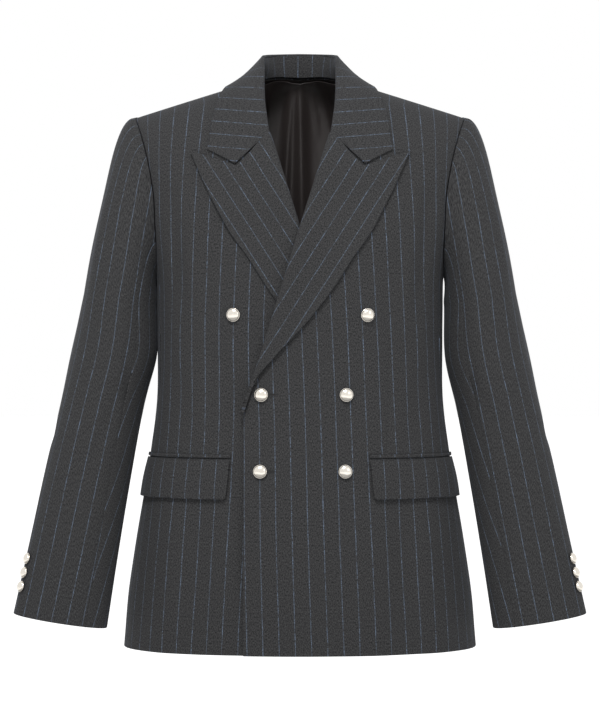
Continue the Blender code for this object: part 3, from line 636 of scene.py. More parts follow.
def neck_level(angle):
    """How far up the back reaches: to the neck seam near the middle, else to the shoulder seam."""
    x = np.abs(body_point(angle, 1.0)[..., 0])
    return 1 - (1 - BACK_NECK) * fade(x, 0, NECK_POINT)


def back(side, finishes, cloth):
    levels = levels_up_to_shoulder(96, 40)
    meet = armhole_meets(BACK_SEAM, True)
    angles, rounds = [], []
    for level in levels:
        below = min(level, 0.0)
        height = below + ARMHOLE_MID
        end = BACK_SEAM if height <= meet else float(armhole_angle(height, True))
        fine = np.linspace(math.pi, end, 400)
        along = lengths(body_point(fine, below))
        place = with_fine_edges(along[-1], 76)
        angles.append(np.interp(place, along, fine))
        rounds.append(place)
    angles, rounds = np.array(angles), np.array(rounds)
    level = np.repeat(levels[:, None], angles.shape[1], axis=1)
    level = np.where(level > 0, level * neck_level(angles), level)
    base = body_point(angles, level)
    out = outward(angles, level)
    cut = np.stack([rounds - STRIPE_STEP / 2, up_the_cloth(base)], axis=-1)
    x, z = base[..., 0], base[..., 2]
    relief = folds_at(BACK_FOLDS, x, z) * cloth.fold_height * fade(z, -0.080, -0.030)
    relief += 0.0022 * cloth.fold_height * np.exp(-(x / 0.05) ** 2) * fade(z, -0.560, -0.470)
    relief -= 0.0007 * np.exp(-rounds / 0.0030) + 0.0006 * np.exp(-(rounds[:, -1:] - rounds) / 0.0030)
    points = base + out * relief[..., None]
    points[..., 0] = np.maximum(points[..., 0], SEAM / 2)
    lined = hem_turned_up(points, TURN_UP)
    name = f"back_cloth_{hand(side)}"
    piece = cloth_wall(name, points, cut, cloth.thickness, finishes, side < 0, lined, snug=(0, 1, 1, 1))
    return declare(piece, f"back_{hand(side)}", points)


def lining(finish, cloth):
    """The satin of the upper back, which hangs in loose upright folds inside the neck."""
    share = with_fine_edges(1.0, 120, (0.006, 0.014, 0.026))
    fine = np.linspace(math.radians(128), math.radians(232), 400)
    along = lengths(body_point(fine, 0.0))
    angles = np.interp(share * along[-1], along, fine)
    up = np.linspace(0, 1, 60)[:, None]
    top = 0.99 * neck_level(angles)[None]
    level = -0.170 + up * (0.170 + top)
    angle = np.repeat(angles[None], 60, axis=0)
    base = body_point(angle, level)
    out = outward(angle, level)
    x, z = base[..., 0], base[..., 2]
    relief = folds_at(LINING_FOLDS, x, z) * cloth.fold_height * (0.4 + 1.0 * fade(up, 0.45, 1.0))
    points = base - out * np.maximum(0.0056 + relief, LINING_CLEAR)[..., None]
    cut = np.stack([np.repeat((share * along[-1])[None], 60, axis=0), up_the_cloth(base)], axis=-1)
    piece = cloth_wall("back_lining_satin", points, cut, SATIN, [finish], facing=(0, 0.0, -0.2),
                       inwards=True)
    return declare(piece, "back_lining", points)


# ---------------------------------------------------------------- lapels and collar

def lapel(side, finish, cloth):
    """A peak lapel that rolls over softly from the front's edge and lies on it to a crisp outer edge."""
    rows, columns, curl = 110, 46, 9
    roll = ((-OVERLAP, BREAK), (ROLL_AT_MID, ARMHOLE_MID), GORGE_IN)
    up = with_fine_edges(1.0, rows, (0.004, 0.009, 0.018))[:, None]
    across = np.concatenate([np.zeros(curl), with_fine_edges(1.0, columns, (0.010, 0.024, 0.050))])[None]
    inner, outer = curve(roll, up[:, 0])[:, None, :], curve(LAPEL_EDGE, up[:, 0])[:, None, :]
    top = np.stack([np.interp(across, (0, NOTCH_AT, 1), ends)
                    for ends in zip(GORGE_IN, NOTCH, PEAK)], axis=-1)
    straight = (1 - across)[..., None] * np.array(GORGE_IN) + across[..., None] * np.array(PEAK)
    seen = (1 - across)[..., None] * inner + across[..., None] * outer
    seen = seen + (up**3)[..., None] * (top - straight)
    seen[..., 1] -= GORGE_GAP * up**9
    x, z = seen[..., 0], seen[..., 1]
    base, out = on_front(x, z, side, np.zeros(x.shape))
    ahead, _ = on_front(x[:, curl:curl + 2] + np.array([0.0, 0.004]), z[:, curl:curl + 2], side,
                        np.zeros((rows, 2)))
    aside = unit(ahead[:, 1] - base[:, curl])[:, None, :]
    width = np.linalg.norm(base[:, -1] - base[:, curl], axis=1)[:, None]
    rise = (0.0016 + 0.0040 * fade(up, 0.75, 0.10)) * cloth.roll_height
    if side < 0:
        rise = rise * fade(inner[:, :, 1], -0.185, -0.235)
    height = LAYER + rise * np.exp(-((across * width) / 0.020) ** 2)
    covered = fade(z, -0.235, -0.185) if side < 0 else 0
    lifted = 0.0018 * fade(across, 1.0, 0.70) + 0.0012 * fade(up, 1.0, 0.85)
    lifted = lifted + 0.0010 * np.sin(up * 5.0 + 0.6) * np.sin(across * math.pi)
    height = height + lifted * (1 - covered)
    points = base + out * height[..., None]
    turn = np.concatenate([np.linspace(math.pi, 0, curl, endpoint=False), np.zeros(columns)])[None]
    half = (LAYER + rise) / 2
    rolled = base + out * (half * (1 + np.cos(turn)))[..., None] - aside * (half * np.sin(turn))[..., None]
    points[:, :curl] = rolled[:, :curl]
    tilt = LAPEL_STRIPE_ANGLE
    toward = (PEAK[0] - x) * math.cos(tilt) + (z - PEAK[1]) * math.sin(tilt)
    u = (toward - LAPEL_FIRST_STRIPE[side]) / LAPEL_STRIPE_PITCH * STRIPE_STEP
    u[:, :curl] += (turn * half)[:, :curl] / LAPEL_STRIPE_PITCH * STRIPE_STEP
    v = (z - PEAK[1]) * math.cos(tilt) - (PEAK[0] - x) * math.sin(tilt)
    cut = np.stack([u, v], axis=-1)
    name = f"lapel_cloth_{hand(side)}"
    piece = cloth_wall(name, points, cut, cloth.thickness * 0.95, [finish], side < 0)
    return declare(piece, f"lapel_{hand(side)}", points)


def collar_lines(along):
    """The collar's fold and outer edge, from the wearer's right end, -1, to the left end, 1."""
    flip = np.stack([np.where(along < 0, -1.0, 1.0), np.ones(along.shape), np.ones(along.shape)], axis=-1)
    return curve(COLLAR_FOLD, np.abs(along)) * flip, curve(COLLAR_EDGE, np.abs(along)) * flip


def upper_body():
    """The form from the chest up, to keep the collar clear of it."""
    front_half = np.linspace(-math.pi / 2, math.pi / 2, 161)
    levels = np.linspace(-0.06, 1, 90)[:, None]
    points, faces = [], []
    for angles in (front_half, front_half + math.pi):
        start = len(points)
        points += [Vector(p) for p in body_point(angles, levels).reshape(-1, 3)]
        for r in range(len(levels) - 1):
            for c in range(len(angles) - 1):
                a = start + r * len(angles) + c
                faces.append((a, a + 1, a + 1 + len(angles), a + len(angles)))
    return BVHTree.FromPolygons(points, faces)


def clear_of(body, point, gap):
    """Moves a point out of the body until it is a gap above it, eased over the last millimetres."""
    place, normal, _, _ = body.find_nearest(Vector(point))
    if normal.dot(place - Vector(CHEST_MIDDLE)) < 0:
        normal = -normal
    height = (Vector(point) - place).dot(normal)
    soft = 0.002
    lifted = gap + soft * math.log1p(math.exp(min((height - gap) / soft, 50)))
    return np.array(Vector(point) + normal * (lifted - height))


def collar_fall(finish, cloth):
    """The fall, from inside its fold, over it, and down to its edge, with a cut for each notch."""
    rows, columns, curl = 200, 36, 10
    along = with_fine_edges(2.0, rows, (0.006, 0.014, 0.026))[:, None] - 1
    fold, edge = collar_lines(along)
    across = with_fine_edges(1.0, columns, (0.014, 0.032, 0.070))[None]
    points = (1 - across)[..., None] * fold + across[..., None] * edge
    swell = COLLAR_SWELL * np.sin(across * math.pi)
    lean = np.concatenate([points[..., :2], np.full(points.shape[:2] + (1,), 0.06)], axis=2)
    points = points + lean / 0.12 * swell[..., None]
    gorge = np.array([(0.0, *GORGE_IN), (NOTCH_AT, *NOTCH), (1.0, *COLLAR_CORNER)])
    near_end = np.abs(along) ** 9
    for axis, column in ((0, 1), (2, 2)):
        straight = (1 - across) * gorge[0, column] + across * gorge[-1, column]
        bend = np.interp(across[0], gorge[:, 0], gorge[:, column])[None] - straight
        points[..., axis] += bend * near_end * (np.where(along < 0, -1, 1) if axis == 0 else 1)
    body = upper_body()
    points = np.array([[clear_of(body, p, LAYER) for p in row] for row in points])
    normal = normals_of(points)
    if np.sum(normal * (points - np.array(CHEST_MIDDLE))) < 0:
        normal = -normal
    down = unit(points[:, 3] - points[:, 0])
    first = unit(normal[:, 1])
    radius = STAND_INSIDE[1] / 2 + 0.0008
    turn = np.linspace(math.pi, 0, curl, endpoint=False)
    centre = points[:, :1] - first[:, None] * radius
    over = first[:, None] * (radius * np.cos(turn))[None, :, None]
    over = centre + over - down[:, None] * (radius * np.sin(turn))[None, :, None]
    points = np.concatenate([over, points], axis=1)
    steps = np.linalg.norm(np.diff(points, axis=1), axis=2)
    fall = np.concatenate([np.zeros((rows, 1)), np.cumsum(steps, axis=1)], axis=1)
    length = lengths((fold[:, 0] + edge[:, 0]) / 2)
    length = (length - length[-1] / 2)[:, None]
    front_part = fade(np.abs(along), 0.56, 0.38)
    flat = (points[..., 2] - COLLAR_FOLD[-1][2]) / COLLAR_STRIPE_PITCH * STRIPE_STEP
    aside = np.abs(points[..., 0]) - 0.06
    flat = flat + (COLLAR_FIRST_STRIPE - 0.10 * aside) / COLLAR_STRIPE_PITCH * STRIPE_STEP
    upright = np.repeat(np.abs(length), fall.shape[1], axis=1)
    u = front_part * flat + (1 - front_part) * upright
    cut = np.stack([u, fall], axis=-1)
    piece = cloth_wall("collar_fall_cloth", points, cut, cloth.thickness * 0.95, [finish])
    return declare(piece, "collar_fall", points)


def neck_line(along):
    """The neck seam, from the wearer's right front end, -1, to the left, 1."""
    points = []
    for share, sign in zip(np.abs(along), np.where(along < 0, -1, 1)):
        if share <= NECK_BACK_SHARE:
            x = NECK_POINT * share / NECK_BACK_SHARE
            angle = math.pi - float(angle_of_x(x / widening(), 0.0))
            point = body_point(angle, float(neck_level(angle)))
        else:
            level = 1 - (share - NECK_BACK_SHARE) / (1 - NECK_BACK_SHARE) * NECK_SEAM_DROP
            angle = float(angle_of_x(front_inner_x(level), 0.0))
            point = body_point(angle, level)
        points.append(point * np.array([sign, 1, 1]))
    return np.array(points)


def collar_stand(finish, cloth):
    """The band inside the neck, whose stripes stand upright."""
    rows, columns = 150, 20
    share = with_fine_edges(2.0, rows, (0.006, 0.014, 0.026)) - 1
    along = share * COLLAR_END
    low = neck_line(along)
    high = collar_lines(along)[0]
    inside = unit(np.column_stack([-low[:, :2], np.zeros(rows)]))
    low = low + inside * (STAND_INSIDE[0] + 0.0016) + np.array([0, 0, 0.0006])
    high = high + inside * (STAND_INSIDE[1] + 0.0016) - np.array([0, 0, 0.0015])
    up = np.linspace(0, 1, columns)[None, :, None]
    points = low[:, None] * (1 - up) + high[:, None] * up
    bow = 0.0012 * np.sin(up * math.pi)
    points = points + inside[:, None] * bow
    round_it = up_the_cloth(points)
    u = round_it - round_it[-1:] / 2 + STAND_STRIPE
    height = np.linalg.norm(points - points[:, :1], axis=2)
    cut = np.stack([u, height], axis=-1)
    piece = cloth_wall("collar_stand_cloth", points, cut, 0.0014, [finish], facing=(0, 0, 0.02), inwards=True)
    return declare(piece, "collar_stand", points)


# ---------------------------------------------------------------- sleeves

def armhole_point(turn):
    """The armhole's edge: 0 in front, a quarter turn at the top, half a turn behind."""
    sine, cosine = np.sin(turn), np.cos(turn)
    behind = cosine < 0
    level = np.arcsin(np.clip(sine, 0, 1)) / (math.pi / 2)
    height = np.where(sine >= 0, ARMHOLE_MID, ARMHOLE_MID + (ARMHOLE_MID - UNDERARM) * sine)
    return body_point(armhole_angle(height, behind), np.where(sine >= 0, level, height - ARMHOLE_MID))


def sleeve_ring(turn, row):
    height, x, y, half_width, half_depth = (row[..., k] for k in range(5))
    across = half_width * np.sin(turn)
    lean = math.cos(SLEEVE_LEAN), math.sin(SLEEVE_LEAN)
    return np.stack([x + across * lean[0], y - half_depth * np.cos(turn), height + across * lean[1]], axis=-1)


def sleeve_point(turn, along):
    """The sleeve: along goes from 0, the armhole, to 1, the first ring, to 2, the cuff."""
    turn, along = np.broadcast_arrays(np.asarray(turn, float), np.asarray(along, float))
    down = np.array([math.sin(SLEEVE_LEAN), 0, -math.cos(SLEEVE_LEAN)])
    below = sleeve_ring(turn, smooth(SLEEVE[::-1], SLEEVE[0][0] - SLEEVE_LENGTH * np.maximum(along - 1, 0)))
    start = armhole_point(turn) + np.array([SLEEVE_GAP, 0, 0])
    end = sleeve_ring(turn, np.broadcast_to(np.array(SLEEVE[0]), turn.shape + (5,)))
    top = (1 + np.sin(turn)) / 2
    outwards, upwards, arrives = (low + more * top for low, more in (SLEEVE_OUT, SLEEVE_UP, SLEEVE_ARRIVES))
    leave = np.stack([outwards, -SLEEVE_ASIDE * np.cos(turn), upwards], axis=-1)
    arrive = down * arrives[..., None]
    t = np.clip(along, 0, 1)[..., None]
    above = ((2 * t**3 - 3 * t**2 + 1) * start + (t**3 - 2 * t**2 + t) * leave
             + (3 * t**2 - 2 * t**3) * end + (t**3 - t**2) * arrive)
    return np.where((along < 1)[..., None], above, below)


def sleeve_half(name, node, side, start, end, columns, finishes, cloth):
    """One of a sleeve's two pieces, from its seam at start round to the one at end."""
    stations = np.concatenate([[0, 0.006, 0.014, 0.028], np.linspace(0.05, 1, 36),
                               np.linspace(1, 2, 84)[1:-3],
                               [2 - 0.0155, 2 - 0.0077, 2 - 0.0034, 2]])
    turns = with_fine_edges(end - start, columns, (0.022, 0.052, 0.11)) + start
    turn, along = np.meshgrid(turns, stations)
    base = sleeve_point(turn, along)
    fine = np.linspace(0, 2 * math.pi, 361)
    rounds = []
    for at, row in zip(stations, turn):
        ring = lengths(sleeve_point(fine, max(at, 1.0)))
        rounds.append(np.interp(row % (2 * math.pi), fine, ring)
                      - np.where(row < 0, ring[-1], 0) + np.where(row >= 2 * math.pi, ring[-1], 0))
    rounds = np.array(rounds)
    down = up_the_cloth(base)
    first = smooth(SLEEVE_STRIPES, along)
    offset = first[..., 1] if side > 0 else first[..., 2]
    ring = lengths(sleeve_point(fine, 1.0))
    beside = base[..., 0] - SLEEVE[0][1] + STRIPE_LEAN * (base[..., 2] - SLEEVE[0][0])
    seen_at = np.arcsin(np.clip(beside / (SLEEVE[0][3] * math.cos(SLEEVE_LEAN)), -1, 1))
    seen_at = np.where(np.cos(turn) < 0, math.pi - seen_at, seen_at)
    straight = np.interp(seen_at % (2 * math.pi), fine, ring) - np.where(seen_at < 0, ring[-1], 0)
    share = fade(np.abs(turn - math.pi / 2), math.radians(75), math.radians(30)) * fade(along, 0.55, 1.0)
    share = share * (turn < SLEEVE_SEAM_BACK + 1e-6) * (end < math.radians(200))
    rounds = rounds + share * (straight - rounds)
    cut = np.stack([(rounds - offset) / first[..., 3] * STRIPE_STEP, -down], axis=-1)
    normal = normals_of(base)
    middle = smooth(SLEEVE[::-1], base[..., 2])[..., 1:3]
    away = np.stack([base[..., 0] - middle[..., 0], base[..., 1] - middle[..., 1],
                     np.zeros(turn.shape)], axis=-1)
    normal = normal * (1 if np.sum(normal * away) > 0 else -1)
    depth = np.maximum(0, -0.070 - base[..., 2])
    relief = folds_at(SLEEVE_FOLDS, rounds, depth) * cloth.fold_height * fade(along, 0.55, 0.15)
    head = fade(np.sin(turn), 0.25, -0.35)
    relief += 0.0008 * head * (1 - np.exp(-down / 0.0030)) * np.exp(-(down / 0.030) ** 2) * cloth.head_puff
    relief -= 0.0006 * (np.exp(-(turn - start) * 0.05 / 0.003) + np.exp(-(end - turn) * 0.05 / 0.003))
    relief -= HEAD_DRAWN_IN * np.clip(np.sin(turn), 0, 1) ** 4 * np.exp(-((down - 0.11) / 0.07) ** 2)
    against_body = fade(base[..., 2], -0.21, -0.16) * fade(base[..., 2], -0.34, -0.40)
    relief += (LEANS_ON_BODY if side < 0 else 0.0) * np.clip(-np.sin(turn), 0, 1) ** 3 * against_body
    points = base + normal * relief[..., None]
    behind = fade(np.cos(turn), -0.45, 0.0) * np.exp(-((base[..., 2] + 0.078) / 0.022) ** 2)
    points[..., 0] -= TUCKED_UNDER * behind * np.exp(-(down / 0.014) ** 2)
    far = (stations[:-1] + stations[1:])[:, None] / 2 < 2 - TURN_UP / SLEEVE_LENGTH
    lined = np.repeat(far, len(turns) - 1, axis=1)
    facing = (SLEEVE[1][1], SLEEVE[1][2], SLEEVE[1][0])
    piece = cloth_wall(name, points, cut, cloth.thickness, finishes, side < 0, lined, facing,
                       snug=(1, 1, 0, 1))
    return declare(piece, node, points)


def sleeve(side, finishes, cloth):
    sleeve_half(f"top_sleeve_cloth_{hand(side)}", f"top_sleeve_{hand(side)}", side, SLEEVE_SEAM_FRONT,
                SLEEVE_SEAM_BACK, 108, finishes, cloth)
    sleeve_half(f"under_sleeve_cloth_{hand(side)}", f"under_sleeve_{hand(side)}", side, SLEEVE_SEAM_BACK,
                SLEEVE_SEAM_FRONT + 2 * math.pi, 52, finishes, cloth)


# ---------------------------------------------------------------- pockets

def pocket_strip(side, low, high, rows, lift, corner, bulge):
    """A strip over the pocket, its inner edge leaning, with both lower corners rounded."""
    edges = (0.0008, 0.0018, 0.0034) if rows > 12 else (0.0005, 0.001, 0.0015)
    heights = low + with_fine_edges(high - low, rows, edges)
    across = with_fine_edges(1.0, 84, (0.008, 0.018, 0.034))
    grid, rounds = [], []
    for height in heights:
        level = height - ARMHOLE_MID
        into = max(corner - (height - low), 0)
        cut_in = corner - math.sqrt(max(corner**2 - into**2, 0)) if corner else 0
        share = (POCKET_TOP - height) / (POCKET_TOP - FLAP_BOTTOM)
        start = float(angle_of_x(POCKET_IN[0] + (POCKET_IN[1] - POCKET_IN[0]) * share + cut_in, level))
        fine = np.linspace(start, POCKET_OUT, 200)
        along = lengths(body_point(fine, level))
        angles = np.interp(across * (along[-1] - cut_in), along, fine)
        out = outward(angles, level)
        up = (height - low) / (high - low)
        high_by = lift[0] + (lift[1] - lift[0]) * up + bulge * math.sin(up * math.pi)
        base = body_point(angles, level)
        relief = folds_at(FRONT_FOLDS, base[..., 0], base[..., 2]) * 0.7
        grid.append(base + out * (high_by + relief)[:, None])
        to_start = lengths(body_point(np.linspace(0, start, 100), level))[-1]
        rounds.append(to_start + across * (along[-1] - cut_in))
    points = np.array(grid)
    points[..., 1] -= overlap_lift(points[..., 0], points[..., 2], side)
    rounds = np.array(rounds)
    up = np.repeat((heights - HEM)[:, None], points.shape[1], axis=1)
    return points, np.stack([stripe_places(rounds, up + HEM, side), up], axis=-1)


def pocket(side, finish, cloth):
    """A jetted pocket: the flap hangs out from under the welt."""
    welt_low = POCKET_TOP - WELT_HEIGHT
    points, cut = pocket_strip(side, welt_low + 0.0006, POCKET_TOP, 10, (0.0021, 0.0021), 0, 0.0006)
    cut[..., 0] += 0.004
    piece = cloth_wall(f"pocket_welt_cloth_{hand(side)}", points, cut, 0.0018, [finish], side < 0)
    declare(piece, f"pocket_welt_{hand(side)}", points)
    points, cut = pocket_strip(side, FLAP_BOTTOM, welt_low - SEAM, 40, (0.0050, 0.0028), 0.0035, 0.0012)
    piece = cloth_wall(f"pocket_flap_cloth_{hand(side)}", points, cut, cloth.thickness, [finish], side < 0)
    declare(piece, f"pocket_flap_{hand(side)}", points)


# ---------------------------------------------------------------- buttons and buttonholes

def start_clean():
    bpy.ops.object.select_all(action="DESELECT")


def domed_button(radius):
    """A pressed metal dome on a flat rim, turned over at its edge, with a shank, at the origin facing up."""
    start_clean()
    bpy.ops.mesh.primitive_uv_sphere_add(segments=64, ring_count=32, radius=1)
    button = bpy.context.active_object
    bpy.ops.object.mode_set(mode="EDIT")
    bpy.ops.mesh.select_all(action="SELECT")
    bpy.ops.mesh.bisect(plane_co=(0, 0, 0), plane_no=(0, 0, 1), clear_inner=True)
    bpy.ops.mesh.select_all(action="SELECT")
    dome = radius * 0.90
    bpy.ops.transform.resize(value=(dome, dome, radius * 0.43), center_override=(0, 0, 0))
    bpy.ops.transform.translate(value=(0, 0, radius * 0.09))
    bpy.ops.mesh.select_all(action="DESELECT")
    bpy.ops.mesh.select_non_manifold()
    for out_by, down in ((1.0, 0.02), (1.045, 0.0), (1.062, 0.012), (1.062, 0.055), (0.94, 0.02)):
        bpy.ops.mesh.extrude_edges_move(TRANSFORM_OT_translate={"value": (0, 0, -radius * down)})
        now = max(math.hypot(v.co.x, v.co.y) for v in bmesh.from_edit_mesh(button.data).verts if v.select)
        size = dome * out_by / now
        bpy.ops.transform.resize(value=(size, size, 1), center_override=(0, 0, 0))
    bpy.ops.mesh.edge_face_add()
    bpy.ops.mesh.select_all(action="SELECT")
    bpy.ops.mesh.normals_make_consistent(inside=False)
    bpy.ops.object.mode_set(mode="OBJECT")
    bpy.ops.object.shade_smooth_by_angle(angle=math.radians(38))
    start_clean()
    bpy.ops.mesh.primitive_cylinder_add(vertices=24, radius=SHANK[0], depth=SHANK[1] + 0.0004,
                                        location=(0, 0, -SHANK[1] / 2))
    shank = bpy.context.active_object
    bpy.ops.object.shade_smooth_by_angle(angle=math.radians(38))
    shank.select_set(True)
    button.select_set(True)
    bpy.context.view_layer.objects.active = button
    bpy.ops.object.join()
    return button


def put_buttons(nodes, radius, finish, place_of):
    """Copies one button to the place of each node, its back to the cloth."""
    pattern = domed_button(radius)
    pattern.data.materials.append(finish)
    for node in nodes:
        place, out = place_of(node)
        turn = Vector(out).to_track_quat("Z", "Y").to_matrix().to_4x4()
        mesh = pattern.data.copy()
        mesh.name = f"{node}_dome"
        mesh.transform(Matrix.Translation(Vector(place) + Vector(out) * SHANK[1]) @ turn)
        button = bpy.data.objects.new(f"{node}_dome", mesh)
        bpy.context.scene.collection.objects.link(button)
        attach(button, "root")
        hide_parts(node)
    bpy.data.objects.remove(pattern)


def front_button_place(node):
    """Where a front button sits on the cloth, from its node's box, and the way it faces."""
    low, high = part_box(node)
    x, z = (low.x + high.x) / 2, (low.z + high.z) / 2
    side = 1 if x > -OVERLAP else -1
    base, out = on_front(np.array([x * side]), np.array([z]), side, np.zeros(1))
    flip = np.array([side, 1, 1])
    out = out[0] * flip
    centre = np.array([x, (low.y + high.y) / 2, z])
    base = base[0] * flip
    along = centre - base
    return base + along - out * float(along @ out) + out * 0.0004, out


def cuff_button_place(node):
    low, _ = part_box(node)
    side = 1 if low.x > 0 else -1
    count = int(node[-1])
    along = 2 - CUFF_BUTTON_UP[count - 1] / SLEEVE_LENGTH
    step = 1e-3
    here = sleeve_point(CUFF_BUTTON_ROUND, along)
    out = unit(np.cross(sleeve_point(CUFF_BUTTON_ROUND, along + step) - here,
                        sleeve_point(CUFF_BUTTON_ROUND + step, along) - here))
    middle = smooth(SLEEVE[::-1], here[2])[1:3]
    out = out * np.sign(out[:2] @ (here[:2] - middle))
    flip = np.array([side, 1, 1])
    return (here + out * 0.0002) * flip, out * flip


def buttonhole(name, node, finish):
    """A stitched buttonhole: a raised rim of thread round a slit."""
    low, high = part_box(node)
    x, z = (low.x + high.x) / 2, (low.z + high.z) / 2
    base, out = on_front(np.array([x]), np.array([z]), 1, np.zeros(1))
    out = Vector(out[0])
    start_clean()
    bpy.ops.mesh.primitive_cube_add(size=1)
    hole = bpy.context.active_object
    hole.name = hole.data.name = name
    bpy.ops.object.mode_set(mode="EDIT")
    bpy.ops.mesh.select_all(action="SELECT")
    bpy.ops.transform.resize(value=(0.0160, 0.0026, 0.0010), center_override=(0, 0, 0))
    bpy.ops.mesh.select_all(action="DESELECT")
    shape = bmesh.from_edit_mesh(hole.data)
    for face in shape.faces:
        face.select = face.normal.z > 0.9
    bmesh.update_edit_mesh(hole.data)
    bpy.ops.mesh.inset(thickness=0.0009, depth=0)
    bpy.ops.transform.translate(value=(0, 0, -0.0008))
    bpy.ops.object.mode_set(mode="OBJECT")
    edges = hole.modifiers.new("rounded", "BEVEL")
    edges.width = 0.0004
    edges.segments = 3
    start_clean()
    hole.select_set(True)
    bpy.context.view_layer.objects.active = hole
    bpy.ops.object.modifier_apply(modifier="rounded")
    bpy.ops.object.shade_smooth_by_angle(angle=math.radians(50))
    along = (Vector((1, 0, 0)) - out * out.x).normalized()
    turn = Matrix((along, out.cross(along), out)).transposed().to_4x4()
    place = Vector((x, base[0][1], z)) + out * 0.0006
    hole.data.transform(Matrix.Translation(place) @ turn)
    hole.data.materials.append(finish)
    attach(hole, "root")
    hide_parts(node)
    return hole


# ---------------------------------------------------------------- finishes

def linear(text):
    """An sRGB hex colour as linear RGBA."""
    parts = [int(text[k:k + 2], 16) / 255 for k in (1, 3, 5)]
    return tuple(c / 12.92 if c <= 0.04045 else ((c + 0.055) / 1.055) ** 2.4 for c in parts) + (1.0,)


def picked(colour):
    """A colour picker's value, which Blender already keeps linear, as RGBA."""
    return (*colour[:3], 1.0)


def add_node(tree, kind, settings=None, inputs=None):
    """Adds a node, sets its settings, and fills or links its inputs."""
    node = tree.nodes.new(kind)
    for key, value in (settings or {}).items():
        setattr(node, key, value)
    for key, value in (inputs or {}).items():
        if isinstance(value, bpy.types.NodeSocket):
            tree.links.new(value, node.inputs[key])
        else:
            node.inputs[key].default_value = value
    return node


def new_material(name):
    material = bpy.data.materials.new(name)
    material.use_nodes = True
    tree = material.node_tree
    return material, tree, tree.nodes["Principled BSDF"]


